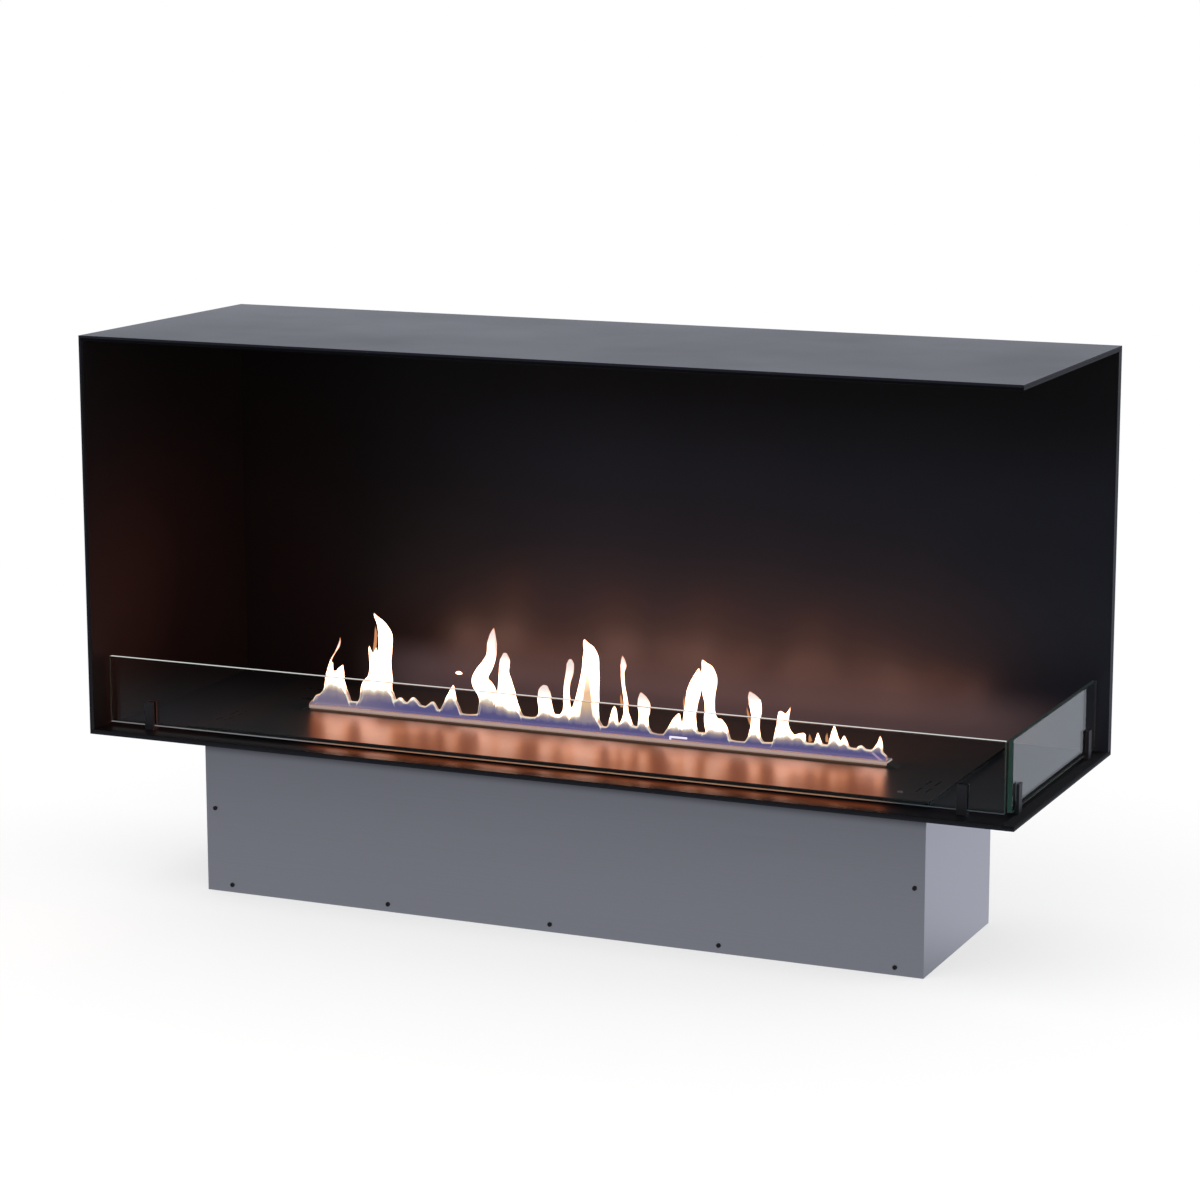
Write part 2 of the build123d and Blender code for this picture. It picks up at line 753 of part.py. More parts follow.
def hinge_bracket():
    """Two ears that hold the ends of the hatch's pin, on a strip that hangs under the plate."""
    left, right, front, back = hatch_edges()
    pin_y, pin_z = hinge_axis()
    x0, x1 = hinge_ends()
    ear_radius = hinge_roll_radius - hinge_play
    strip_top = pin_z - hinge_roll_radius - hinge_ear_gap
    strip_low = strip_top - box_sheet
    end0 = x0 - hinge_ear_gap - hinge_ear
    end1 = x1 + hinge_ear_gap + hinge_ear
    bracket = block(end0, end1, pin_y - ear_radius, back + hinge_ear, strip_low, strip_top)
    for e0, e1 in ((end0, end0 + hinge_ear), (end1 - hinge_ear, end1)):
        bracket += block(e0, e1, pin_y - ear_radius, pin_y + ear_radius, strip_low, pin_z)
        bracket += along(pin_y, pin_z, ear_radius, e0, e1)
        bracket += block(e0, e1, back, back + hinge_ear, strip_low, plate_z)
        bracket -= along(pin_y, pin_z, hinge_pin_radius, e0, e1)
    return bracket


def hinge_pin():
    pin_y, pin_z = hinge_axis()
    x0, x1 = hinge_ends()
    reach = hinge_ear_gap + hinge_ear
    return along(pin_y, pin_z, hinge_pin_radius, x0 - reach, x1 + reach)


def level_stem():
    stop = tank_z0 + tank_wall + float_stop
    stem = upright(level_x, burner_y, level_stem_radius, stop - float_stop_height, tank_z1)
    stem += upright(level_x, burner_y, level_flange_radius, tank_z1, tank_z1 + level_flange_height)
    return stem + upright(level_x, burner_y, float_radius / 2, stop - float_stop_height, stop)


def level_float():
    stop = tank_z0 + tank_wall + float_stop
    ring = upright(level_x, burner_y, float_radius, stop, stop + float_height)
    ring = fillet(ring.edges(), float_height / 6)
    return ring - upright(level_x, burner_y, level_stem_radius + float_play, stop, stop + float_height)


def fuel_pump():
    low = box_sheet
    base = centred(pump_x, burner_y, pump_block, pump_block, low, low + pump_base_height)
    head = centred(pump_x, burner_y, pump_head, pump_head, low + pump_base_height, low + pump_height)
    head = chamfer(head.edges().group_by(Axis.Z)[-1], pump_head / 12)
    motor_z = low + pump_base_height + pump_motor_radius + pump_motor_rise
    motor = across(pump_x, motor_z, pump_motor_radius, burner_y + pump_head / 2 - pipe_radius,
                   burner_y + pump_motor_length)
    motor = fillet(motor.edges().group_by(Axis.Y)[-1], pump_motor_radius / 6)
    body = base + head + motor
    body -= along(burner_y, hose_z, pipe_bore, pump_x - pump_head / 2, pump_x)
    return body - upright(pump_x, burner_y, pipe_bore, hose_z + 2 * pipe_bore, low + pump_height)


def solenoid_valve():
    body = centred(pump_x, burner_y, valve_block, valve_block, valve_low, valve_high)
    body = chamfer(body.edges().filter_by(Axis.Z), valve_block / 10)
    middle = (valve_low + valve_high) / 2
    coil = across(pump_x, middle, coil_radius, burner_y, burner_y + valve_block / 2 + coil_length)
    return body + coil - upright(pump_x, burner_y, pipe_bore, valve_low, valve_high)


def pipe(z0, z1):
    return upright(pump_x, burner_y, pipe_radius, z0, z1) - upright(pump_x, burner_y, pipe_bore, z0, z1)


def fuel_pipes():
    """From the tank to the pump, from the pump to the valve and from the valve to the trough."""
    pump_side = pump_x - pump_head / 2
    suction = (along(burner_y, hose_z, pipe_radius, tank_x1, pump_side)
               - along(burner_y, hose_z, pipe_bore, tank_x1, pump_side))
    return group([suction, pipe(box_sheet + pump_height, valve_low), pipe(valve_high, trough_floor_z)])


def fuel_system():
    return {"fuel_tank": fuel_tank(), "tank_feet": tank_feet(), "filler_neck": filler_neck(),
            "hatch_leaf": hatch_leaf(), "hatch_plug": hatch_plug(), "hatch_hinge_bracket": hinge_bracket(),
            "hatch_hinge_pin": hinge_pin(), "level_stem": level_stem(), "level_float": level_float(),
            "fuel_pump": fuel_pump(), "solenoid_valve": solenoid_valve(), "fuel_pipes": fuel_pipes()}


# ---- electrics ----

board_y0 = burner_y - board_width / 2
board_y1 = burner_y + board_width / 2
board_z0 = box_sheet + standoff_height
board_z1 = board_z0 + board_thickness


def standoff_places():
    return [(x, y) for x in (board_x0 + standoff_inset, board_x1 - standoff_inset)
            for y in (board_y0 + standoff_inset, board_y1 - standoff_inset)]


def board_parts():
    """Two relays and two capacitors in a row, a processor and a block of terminals."""
    middle_x = (board_x0 + board_x1) / 2
    row_y = board_y1 - part_gap - relay_width / 2
    places = [middle_x + x for x in spread(4, board_length / 5)]
    parts = [centred(x, row_y, relay_length, relay_width, board_z1, board_z1 + relay_height)
             for x in places[:2]]
    parts += [upright(x, row_y, can_radius, board_z1, board_z1 + can_height) for x in places[2:]]
    parts.append(centred(places[-1], burner_y - chip_size / 2, chip_size, chip_size,
                         board_z1, board_z1 + chip_height))
    parts.append(centred(middle_x, board_y0 + part_gap / 2, terminal_length, terminal_width,
                         board_z1, board_z1 + terminal_height))
    return group(parts)


def power_supply():
    body = block(supply_x0, supply_x1, burner_y - supply_width / 2, burner_y + supply_width / 2,
                 box_sheet, box_sheet + supply_height)
    return fillet(body.edges().group_by(Axis.Z)[-1], supply_height / 12)


def fan_shaft_front():
    return box_inner_back_y - fan_depth + fan_back_wall + fan_tip_gap


def fan_frame():
    back = box_inner_back_y
    front = back - fan_depth
    half = fan_bore_radius + fan_rim
    frame = block(fan_x - half, fan_x + half, front, back, fan_height - half, fan_height + half)
    frame -= across(fan_x, fan_height, fan_bore_radius, front, back)
    strut = fan_hub_radius / 3
    for angle in (0, 90):
        bar = Box(2 * fan_bore_radius + fan_tip_gap, fan_back_wall, strut)
        frame += Pos(fan_x, back - fan_back_wall / 2, fan_height) * Rot(0, angle, 0) * bar
    frame += across(fan_x, fan_height, fan_hub_radius, back - fan_back_wall, back)
    return frame + across(fan_x, fan_height, fan_shaft_radius, fan_shaft_front(), back - fan_back_wall)


def fan_rotor():
    back = box_inner_back_y - fan_back_wall - fan_tip_gap
    front = box_inner_back_y - fan_depth + fan_tip_gap
    tip = fan_bore_radius - fan_tip_gap
    rotor = across(fan_x, fan_height, fan_hub_radius, front, back)
    middle = (front + back) / 2
    reach = tip - fan_hub_radius / 2
    for i in range(fan_blades):
        blade = Box(reach, fan_blade_width, fan_blade_thickness)
        blade = Pos(fan_hub_radius / 2 + reach / 2, 0, 0) * Rot(fan_blade_pitch, 0, 0) * blade
        rotor += Pos(fan_x, middle, fan_height) * Rot(0, i * 360 / fan_blades, 0) * blade
    rotor &= across(fan_x, fan_height, tip, front, back)
    bore_front = fan_shaft_front() - fan_shaft_play
    return rotor - across(fan_x, fan_height, fan_shaft_radius + fan_shaft_play, bore_front, back)


def pushed_in_case(x, width, tall, depth, wall):
    """A case pushed into the back panel from behind, with a flange outside and an open mouth."""
    outside = box_back_y + inlet_flange_thickness
    inside = outside - depth
    z = inlet_height
    case = block(x - width / 2, x + width / 2, inside, box_back_y, z - tall / 2, z + tall / 2)
    case += block(x - width / 2 - inlet_flange, x + width / 2 + inlet_flange, box_back_y, outside,
                  z - tall / 2 - inlet_flange, z + tall / 2 + inlet_flange)
    return case - block(x - width / 2 + wall, x + width / 2 - wall, inside + wall, outside,
                        z - tall / 2 + wall, z + tall / 2 - wall)


def mains_inlet():
    case = pushed_in_case(inlet_x, inlet_width, inlet_tall, inlet_depth, inlet_wall)
    outside = box_back_y + inlet_flange_thickness
    inside = outside - inlet_depth + inlet_wall
    pins = ((-inlet_pin_pitch, -inlet_pin_tall / 2), (inlet_pin_pitch, -inlet_pin_tall / 2),
            (0, inlet_pin_tall / 2))
    for dx, dz in pins:
        x = inlet_x + dx
        low = inlet_height + dz - inlet_pin_tall / 2
        case += block(x - inlet_pin_width / 2, x + inlet_pin_width / 2, inside, outside - inlet_pin_recess,
                      low, low + inlet_pin_tall)
    return case


def switch_pivot_y():
    return box_back_y


def switch_housing():
    case = pushed_in_case(switch_x, switch_width, switch_tall, switch_depth, switch_wall)
    pivot = along(switch_pivot_y(), inlet_height, switch_wall, switch_x - switch_width / 2 + switch_wall,
                  switch_x + switch_width / 2 - switch_wall)
    return case + pivot


def switch_rocker():
    """A paddle with two slanted faces, tipped to one side, on the housing's pivot."""
    half = switch_tall / 2 - switch_wall - rocker_play
    width = switch_width - 2 * (switch_wall + rocker_play)
    tilt = radians(rocker_tilt)
    proud = inlet_flange_thickness + switch_wall
    outline = Polyline((-half * cos(tilt), -switch_wall * 2), (half * cos(tilt), -switch_wall * 2),
                       (half * cos(tilt), proud + half * sin(tilt) / 2), (0, proud - half * sin(tilt) / 2),
                       (-half * cos(tilt), proud + half * sin(tilt) / 2), close=True)
    paddle = extrude(make_face(Plane.YZ * outline), width / 2, both=True)
    paddle = Rot(-90 + rocker_tilt, 0, 0) * paddle
    paddle = Pos(switch_x, switch_pivot_y(), inlet_height) * paddle
    return paddle - along(switch_pivot_y(), inlet_height, switch_wall + rocker_bore_play,
                          switch_x - width, switch_x + width)


def electrics():
    board = block(board_x0, board_x1, board_y0, board_y1, board_z0, board_z1)
    standoffs = [upright(x, y, standoff_radius, box_sheet, board_z0) for x, y in standoff_places()]
    return {"control_board": board, "board_parts": board_parts(), "board_standoffs": group(standoffs),
            "power_supply": power_supply(), "fan_frame": fan_frame(), "fan_rotor": fan_rotor(),
            "mains_inlet": mains_inlet(), "switch_housing": switch_housing(),
            "switch_rocker": switch_rocker()}


os.makedirs("parts", exist_ok=True)
for section in (casing(), back_wall(), glass_screen(), burner_box(), burner_top(), fuel_system(),
                electrics()):
    for node, shape in section.items():
        export_step(shape, f"parts/{node}.step")
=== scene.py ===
import json
from math import radians, sin, sqrt, tanh
import bpy
from mathutils import Matrix, Vector


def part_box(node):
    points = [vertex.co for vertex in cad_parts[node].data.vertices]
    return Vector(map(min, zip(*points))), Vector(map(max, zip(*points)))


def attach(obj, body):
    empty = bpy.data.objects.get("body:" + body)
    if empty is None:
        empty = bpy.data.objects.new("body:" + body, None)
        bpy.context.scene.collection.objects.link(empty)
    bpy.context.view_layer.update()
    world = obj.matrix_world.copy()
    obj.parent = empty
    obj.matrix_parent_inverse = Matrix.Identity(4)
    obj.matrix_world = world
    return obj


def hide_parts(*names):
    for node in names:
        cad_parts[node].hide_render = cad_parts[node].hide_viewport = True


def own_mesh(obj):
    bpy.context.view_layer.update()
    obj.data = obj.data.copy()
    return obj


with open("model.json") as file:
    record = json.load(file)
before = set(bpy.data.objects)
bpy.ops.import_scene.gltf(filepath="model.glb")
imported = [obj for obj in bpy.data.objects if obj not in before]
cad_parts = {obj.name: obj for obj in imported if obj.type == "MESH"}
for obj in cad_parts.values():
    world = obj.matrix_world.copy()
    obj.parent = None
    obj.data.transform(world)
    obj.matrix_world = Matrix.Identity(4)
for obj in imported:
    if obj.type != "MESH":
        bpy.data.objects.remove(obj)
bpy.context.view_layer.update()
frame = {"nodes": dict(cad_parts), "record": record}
nodes = frame["nodes"]
print("frame loaded:", len(nodes), "nodes")

# the camera stands where the photograph was taken from

shot = {
    "place": (1.66495, -3.75063, 1.18030),
    "turn": 23.8213,    # degrees round the upright
    "dip": 10.9536,     # degrees under the horizon
    "roll": -0.0647,
    "lens": 102.461,    # in mm, as the sensor's width
    "sensor": 36,
    "sees": 60,         # how far, in metres
}


def placeCamera():
    bpy.ops.object.camera_add()
    camera = bpy.context.object
    camera.name = "camera"
    turn = Matrix.Rotation(radians(shot["turn"]), 4, "Z")
    tilt = Matrix.Rotation(radians(90 - shot["dip"]), 4, "X")
    roll = Matrix.Rotation(radians(shot["roll"]), 4, "Z")
    camera.matrix_world = Matrix.Translation(shot["place"]) @ turn @ tilt @ roll
    camera.data.lens = shot["lens"]
    camera.data.sensor_width = shot["sensor"]
    camera.data.clip_end = shot["sees"]
    bpy.context.scene.camera = camera


# small helpers for node trees

def addNode(tree, kind, values=None, **settings):
    made = tree.nodes.new("ShaderNode" + kind)
    for name, value in settings.items():
        setattr(made, name, value)
    for name, value in (values or {}).items():
        made.inputs[name].default_value = value
    return made


def wire(tree, *ends):
    # pairs of an output and an input
    for source, target in zip(ends[::2], ends[1::2]):
        tree.links.new(source, target)


def feed(tree, socket, value):
    # a link, a number or a color
    if isinstance(value, bpy.types.NodeSocket):
        tree.links.new(value, socket)
    elif isinstance(value, tuple) and len(value) == 3 and socket.type == "RGBA":
        socket.default_value = (*value, 1.0)
    elif value is not None:
        socket.default_value = value


def addMath(tree, operation, first, second=None, third=None):
    made = addNode(tree, "Math", operation=operation)
    for socket, value in zip(made.inputs, (first, second, third)):
        feed(tree, socket, value)
    return made.outputs[0]


def mapFrom(tree, value, low, high, toLow, toHigh, curve="LINEAR"):
    ends = {"From Min": low, "From Max": high, "To Min": toLow, "To Max": toHigh}
    ramp = addNode(tree, "MapRange", ends, interpolation_type=curve)
    wire(tree, value, ramp.inputs["Value"])
    return ramp.outputs["Result"]


def fadeIn(tree, value, ends, curve="LINEAR"):
    # 0 at the first end and 1 at the second
    return mapFrom(tree, value, *ends, 0.0, 1.0, curve)


def fadeOut(tree, value, ends, curve="LINEAR"):
    return mapFrom(tree, value, *ends, 1.0, 0.0, curve)


def between(tree, share, none, full):
    # none where the share is 0 and full where it is 1
    return mapFrom(tree, share, 0.0, 1.0, none, full)


def mixColors(tree, factor, first, second):
    mix = addNode(tree, "Mix", data_type="RGBA")
    feed(tree, mix.inputs[0], factor)
    feed(tree, mix.inputs[6], first)
    feed(tree, mix.inputs[7], second)
    return mix.outputs[2]


def splitVector(tree, vector):
    # its X, Y and Z
    split = addNode(tree, "SeparateXYZ")
    wire(tree, vector, split.inputs[0])
    return split.outputs


studio = {
    "worldLevel": 0.92,
    "floorSize": 30.0,
    "shadowEnds": (0.9, 2.6),           # how far out the floor takes shadows, and how much of its look does
    "shadowShares": (0.40, 0.0),
    "mirroredTint": (0.85, 0.88, 1.0),  # the rest is what gloss and glass meet, from front to back
    "skyEnds": (-0.3, 0.5),
    "skyLevels": (0.06, 1.0),
    "frontEnds": (-1.4, -0.85),
    "frontLevels": (0.03, 0.42),
    "behindEnds": (-0.15, 0.15),
    "behindLevel": 0.30,
    "footEnds": (-0.8, -0.15),          # less light comes off the floor close to the object
    "footLoss": 0.05,
}
softLamps = {               # place, aim, size, power and color
    "lampAbove": ((-0.8, -1.6, 3.2), (0, 0, 0), (2.4, 2.4), 26.0, (1, 1, 1)),
    "lampRight": ((3.0, 1.2, 2.0), (0, 0, 0), (2.0, 2.0), 16.0, (1, 1, 1)),
    "flameLightBack": ((0, 0.006, 0.268), (0, 1, 0.268), (0.76, 0.07), 5.0, (1, 0.36, 0.2)),
    "flameLightLeft": ((-0.41, -0.09, 0.38), (-1, -0.09, 0.38), (0.16, 0.2), 1.5, (1, 0.22, 0.10)),
    "flameLightFront": ((0, -0.019, 0.268), (0, -1, 0.1), (0.76, 0.07), 2.4, (1, 0.33, 0.12)),
    "flameGlowFront": ((0, -0.019, 0.262), (0, -1, 0.262), (0.77, 0.07), 0.17, (1, 0.20, 0.05)),
}
mirroredLamps = ("flameGlowFront",)      # the haze between the flames shows in the enamel before them


def lightWorld():
    world = bpy.data.worlds.new("studioWorld")
    bpy.context.scene.world = world
    world.use_nodes = True
    tree = world.node_tree
    tree.nodes.clear()
    out = addNode(tree, "OutputWorld")
    back = addNode(tree, "Background")
    path = addNode(tree, "LightPath")
    backward = splitVector(tree, addNode(tree, "TexCoord").outputs["Generated"])["Y"]
    level = mapFrom(tree, backward, *studio["skyEnds"], *studio["skyLevels"], "SMOOTHSTEP")
    mirrored = addMath(tree, "MAXIMUM", path.outputs["Is Glossy Ray"], path.outputs["Is Transmission Ray"])
    plain = addNode(tree, "Mix", {"A": studio["worldLevel"]}, data_type="FLOAT")
    seen = addNode(tree, "Mix", {"B": 1.0}, data_type="FLOAT")
    wire(tree, mirrored, plain.inputs["Factor"], level, plain.inputs["B"],
         path.outputs["Is Camera Ray"], seen.inputs["Factor"], plain.outputs["Result"], seen.inputs["A"],
         seen.outputs["Result"], back.inputs["Strength"],
         mixColors(tree, mirrored, (1, 1, 1), studio["mirroredTint"]), back.inputs["Color"],
         back.outputs[0], out.inputs["Surface"])


def lightLamps():
    for name, (place, aim, size, power, color) in softLamps.items():
        bpy.ops.object.light_add(type="AREA", location=place)
        made = bpy.context.object
        made.name = name
        made.rotation_euler = (Vector(aim) - Vector(place)).to_track_quat("-Z", "Y").to_euler()
        made.data.shape = "RECTANGLE"
        made.data.size, made.data.size_y = size
        made.data.energy = power
        made.data.color = color
        made.visible_camera = False
        made.visible_glossy = name in mirroredLamps
        made.visible_transmission = False


def layFloor():
    bpy.ops.mesh.primitive_plane_add(size=studio["floorSize"])
    floor = bpy.context.object
    floor.name = "floor"
    paper = bpy.data.materials.new("paper")
    paper.use_nodes = True
    tree = paper.node_tree
    tree.nodes.clear()
    out = addNode(tree, "OutputMaterial")
    shaded = addNode(tree, "BsdfDiffuse", {"Color": (1, 1, 1, 1)})
    white = addNode(tree, "Emission", {"Color": (1, 1, 1, 1)})
    mirrored = addNode(tree, "Emission", {"Color": (*studio["mirroredTint"], 1)})
    seen = addNode(tree, "MixShader")
    asMirrored = addNode(tree, "MixShader")
    asSeen = addNode(tree, "MixShader")
    path = addNode(tree, "LightPath")
    position = addNode(tree, "NewGeometry").outputs["Position"]
    far = addNode(tree, "VectorMath", operation="LENGTH")
    wire(tree, position, far.inputs[0])
    backward = splitVector(tree, position)["Y"]
    share = mapFrom(tree, far.outputs["Value"], *studio["shadowEnds"], *studio["shadowShares"], "SMOOTHSTEP")
    front = mapFrom(tree, backward, *studio["frontEnds"], *studio["frontLevels"], "SMOOTHSTEP")
    behind = mapFrom(tree, backward, *studio["behindEnds"], 0.0, studio["behindLevel"], "SMOOTHSTEP")
    foot = mapFrom(tree, backward, *studio["footEnds"], 0.0, studio["footLoss"])
    level = addMath(tree, "SUBTRACT", addMath(tree, "ADD", front, behind), foot)
    glossy = addMath(tree, "MAXIMUM", path.outputs["Is Glossy Ray"], path.outputs["Is Transmission Ray"])
    wire(tree, level, mirrored.inputs["Strength"],
         share, seen.inputs["Fac"], white.outputs[0], seen.inputs[1], shaded.outputs[0], seen.inputs[2],
         glossy, asMirrored.inputs["Fac"], shaded.outputs[0], asMirrored.inputs[1],
         mirrored.outputs[0], asMirrored.inputs[2],
         path.outputs["Is Camera Ray"], asSeen.inputs["Fac"], asMirrored.outputs[0], asSeen.inputs[1],
         seen.outputs[0], asSeen.inputs[2], asSeen.outputs[0], out.inputs["Surface"])
    floor.data.materials.append(paper)


placeCamera()
lightWorld()
lightLamps()
layFloor()
bpy.context.scene.view_settings.view_transform = "Standard"
print("camera, floor and light are set")


# effects that several finishes share

def newGroup(name, inputs, outputs):
    # inputs: name to default value, or None for a vector; outputs: names
    group = bpy.data.node_groups.new(name, "ShaderNodeTree")
    for label, value in inputs.items():
        kind = "NodeSocketVector" if value is None else "NodeSocketFloat"
        socket = group.interface.new_socket(label, in_out="INPUT", socket_type=kind)
        if value is not None:
            socket.default_value = value
    for label in outputs:
        group.interface.new_socket(label, in_out="OUTPUT", socket_type="NodeSocketFloat")
    start = group.nodes.new("NodeGroupInput")
    end = group.nodes.new("NodeGroupOutput")
    return group, start, end


grainNoise = {
    "peel": {"Detail": 2.0, "Roughness": 0.5},
    "patch": {"Detail": 3.0, "Roughness": 0.6},
    "dust": {"Scale": 420.0, "Detail": 1.0},
    "specks": (0.70, 0.78),             # only the dust's highest peaks show
}


def makePaintGrain():
    # fine orange peel, slow patches and rare specks of dust
    inputs = {"Vector": None, "Grain": 900.0, "Patches": 5.0}
    group, start, end = newGroup("paintGrain", inputs, ("Height", "Patch", "Specks"))
    peel, patch, dust = (addNode(group, "TexNoise", grainNoise[label]) for label in ("peel", "patch", "dust"))
    vector = start.outputs["Vector"]
    wire(group, vector, peel.inputs["Vector"], vector, patch.inputs["Vector"], vector, dust.inputs["Vector"],
         start.outputs["Grain"], peel.inputs["Scale"], start.outputs["Patches"], patch.inputs["Scale"],
         peel.outputs["Fac"], end.inputs["Height"], patch.outputs["Fac"], end.inputs["Patch"],
         fadeIn(group, dust.outputs["Fac"], grainNoise["specks"]), end.inputs["Specks"])
    return group


markNoise = {
    "fine": {"Scale": 1.0, "Detail": 3.0, "Roughness": 0.7},
    "broad": {"Scale": 0.12, "Detail": 2.0},
    "share": 0.4,       # of the broad marks in the height
}


def makeBrushMarks():
    # streaks along one axis: the vector comes in already squeezed along it
    group, start, end = newGroup("brushMarks", {"Vector": None, "Fineness": 1.0}, ("Streaks", "Height"))
    fine, broad = (addNode(group, "TexNoise", markNoise[label]) for label in ("fine", "broad"))
    scaled = addNode(group, "VectorMath", operation="SCALE")
    joined = addMath(group, "MULTIPLY_ADD", broad.outputs["Fac"], markNoise["share"], fine.outputs["Fac"])
    wire(group, start.outputs["Vector"], scaled.inputs[0], start.outputs["Fineness"], scaled.inputs["Scale"],
         scaled.outputs["Vector"], fine.inputs["Vector"], scaled.outputs["Vector"], broad.inputs["Vector"],
         fine.outputs["Fac"], end.inputs["Streaks"], joined, end.inputs["Height"])
    return group


paintGrain = makePaintGrain()
brushMarks = makeBrushMarks()


def newMaterial(name, values):
    material = bpy.data.materials.new(name)
    material.use_nodes = True
    tree = material.node_tree
    shader = tree.nodes["Principled BSDF"]
    for label, value in values.items():
        feed(tree, shader.inputs[label], value)
    return material, tree, shader


def bumpFrom(tree, shader, height, strength, distance):
    bump = addNode(tree, "Bump", {"Strength": strength, "Distance": distance})
    wire(tree, height, bump.inputs["Height"], bump.outputs["Normal"], shader.inputs["Normal"])


noiseEnds = (0.3, 0.7)      # nearly all values of a noise lie between these
mostly = 0.5                # a face looks along an axis when its normal has more of it than this
bareRoughness = 0.95
plainSpecular = 0.5         # the shader's own value


def looksAlong(tree, place, axis):
    # 1 on faces that look along the axis, either way
    facing = splitVector(tree, place.outputs["Normal"])
    return addMath(tree, "GREATER_THAN", addMath(tree, "ABSOLUTE", facing[axis]), mostly)


def paint(name, look):
    # sprayed paint, enamel, rubber or moulded plastic
    material, tree, shader = newMaterial(name, look["shader"])
    grain = addNode(tree, "Group", node_tree=paintGrain)
    grain.inputs["Grain"].default_value = look["grain"]
    grain.inputs["Patches"].default_value = look["patches"]
    place = addNode(tree, "TexCoord")
    wire(tree, place.outputs["Object"], grain.inputs["Vector"])
    color = mixColors(tree, grain.outputs["Patch"], look["dark"], look["pale"])
    speck = addMath(tree, "MULTIPLY", grain.outputs["Specks"], look["dust"])
    dusted = mixColors(tree, speck, color, look["dustColor"])
    rough = mapFrom(tree, grain.outputs["Patch"], *noiseEnds, *look["roughness"])
    if "coat" in look:          # the cut edges at the sides have no coat
        cut = looksAlong(tree, place, "X")
        wire(tree, between(tree, cut, look["coat"], 0.0), shader.inputs["Coat Weight"])
        rough = addMath(tree, "MAXIMUM", rough, between(tree, cut, 0.0, look["edgeRoughness"]))
    if "dullFrom" in look:      # the strip outside the side pane is dull
        across = splitVector(tree, place.outputs["Object"])["X"]
        outer = addMath(tree, "GREATER_THAN", across, look["dullFrom"])
        rough = addMath(tree, "MAXIMUM", rough, between(tree, outer, 0.0, bareRoughness))
    if "shadedRawEdge" in look:       # edges and slot walls are bare of the enamel's shine, and their color is painted darker, as shade
        level = looksAlong(tree, place, "Z")
        dusted = mixColors(tree, level, look["shadedRawEdge"], dusted)
        rough = addMath(tree, "MAXIMUM", rough, between(tree, level, bareRoughness, 0.0))
        wire(tree, between(tree, level, 0.0, plainSpecular), shader.inputs["Specular IOR Level"])
    wire(tree, dusted, shader.inputs["Base Color"], rough, shader.inputs["Roughness"])
    bumpFrom(tree, shader, grain.outputs["Height"], look["bump"], look["depth"])
    return material


def brushed(name, look, squeeze, shadeFrom=None):
    # metal with marks drawn out along the axis that is squeezed least
    # shadeFrom: the height of what hangs over it; under that its upper part gets painted shade
    material, tree, shader = newMaterial(name, look["shader"])
    marks = addNode(tree, "Group", node_tree=brushMarks)
    marks.inputs["Fineness"].default_value = look["fineness"]
    place = addNode(tree, "TexCoord")
    squeezed = addNode(tree, "Mapping")
    squeezed.inputs["Scale"].default_value = squeeze
    wire(tree, place.outputs["Object"], squeezed.inputs["Vector"],
         squeezed.outputs["Vector"], marks.inputs["Vector"])
    color = mixColors(tree, marks.outputs["Streaks"], look["dark"], look["pale"])
    # painted shade under what hangs over it
    if shadeFrom:
        up = splitVector(tree, place.outputs["Object"])["Z"]
        shade = fadeIn(tree, up, [shadeFrom - reach for reach in look["shadeReach"]], "SMOOTHSTEP")
        color = mixColors(tree, shade, color, tuple(look["shade"] * part for part in look["dark"]))
    rough = mapFrom(tree, marks.outputs["Streaks"], *noiseEnds, *look["roughness"])
    wire(tree, color, shader.inputs["Base Color"], rough, shader.inputs["Roughness"])
    bumpFrom(tree, shader, marks.outputs["Height"], look["bump"], look["depth"])
    return material


casingLook = {"dark": (0.010, 0.0105, 0.015), "pale": (0.014, 0.0145, 0.020), "roughness": (0.20, 0.25),
              "grain": 500.0, "patches": 4.0, "bump": 0.3, "depth": 0.00001,
              "dust": 0.15, "dustColor": (0.2, 0.2, 0.2),
              "shader": {"IOR": 1.071}}
linerLook = {"dark": (0.0020, 0.0022, 0.0032), "pale": (0.0032, 0.0034, 0.0048), "roughness": (0.30, 0.34),
             "grain": 500.0, "patches": 6.0, "bump": 0.1, "depth": 0.000004,
             "dust": 0.0, "dustColor": (0.15, 0.15, 0.15),
             "shader": {"IOR": 1.45, "Coat Roughness": 0.23}, "coat": 0.6, "edgeRoughness": 0.6}
topLook = {**linerLook, "roughness": (0.16, 0.20), "shader": {"IOR": 1.32}, "coat": 0.0}
floorLook = {**topLook, "roughness": (0.28, 0.32), "shader": {"IOR": 1.42},
             "dullFrom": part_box("side_glass")[1].x}
enamelLook = {"dark": (0.0028, 0.0022, 0.0020), "pale": (0.0042, 0.0034, 0.0031), "roughness": (0.29, 0.34),
              "grain": 300.0, "patches": 9.0, "bump": 0.05, "depth": 0.000004,
              "dust": 0.05, "dustColor": (0.15, 0.14, 0.13), "shader": {"IOR": 1.5}}
# its edges and slot walls get painted shade
plateLook = {**enamelLook, "shadedRawEdge": (0.0008, 0.0008, 0.0008)}
rampLook = {**enamelLook, "roughness": (0.4, 0.5), "dark": (0.02, 0.017, 0.015), "pale": (0.03, 0.026, 0.022)}
clipLook = {"dark": (0.010, 0.010, 0.013), "pale": (0.016, 0.016, 0.020), "roughness": (0.38, 0.5),
            "grain": 1800.0, "patches": 60.0, "bump": 0.2, "depth": 0.00002,
            "dust": 0.1, "dustColor": (0.2, 0.2, 0.2), "shader": {"IOR": 1.35}}
rubberLook = {**clipLook, "dark": (0.012, 0.012, 0.012), "pale": (0.02, 0.02, 0.02), "roughness": (0.7, 0.85)}
plasticLook = {**clipLook, "dark": (0.016, 0.016, 0.017), "pale": (0.022, 0.022, 0.024), "depth": 0.00005,
               "shader": {"IOR": 1.45}}
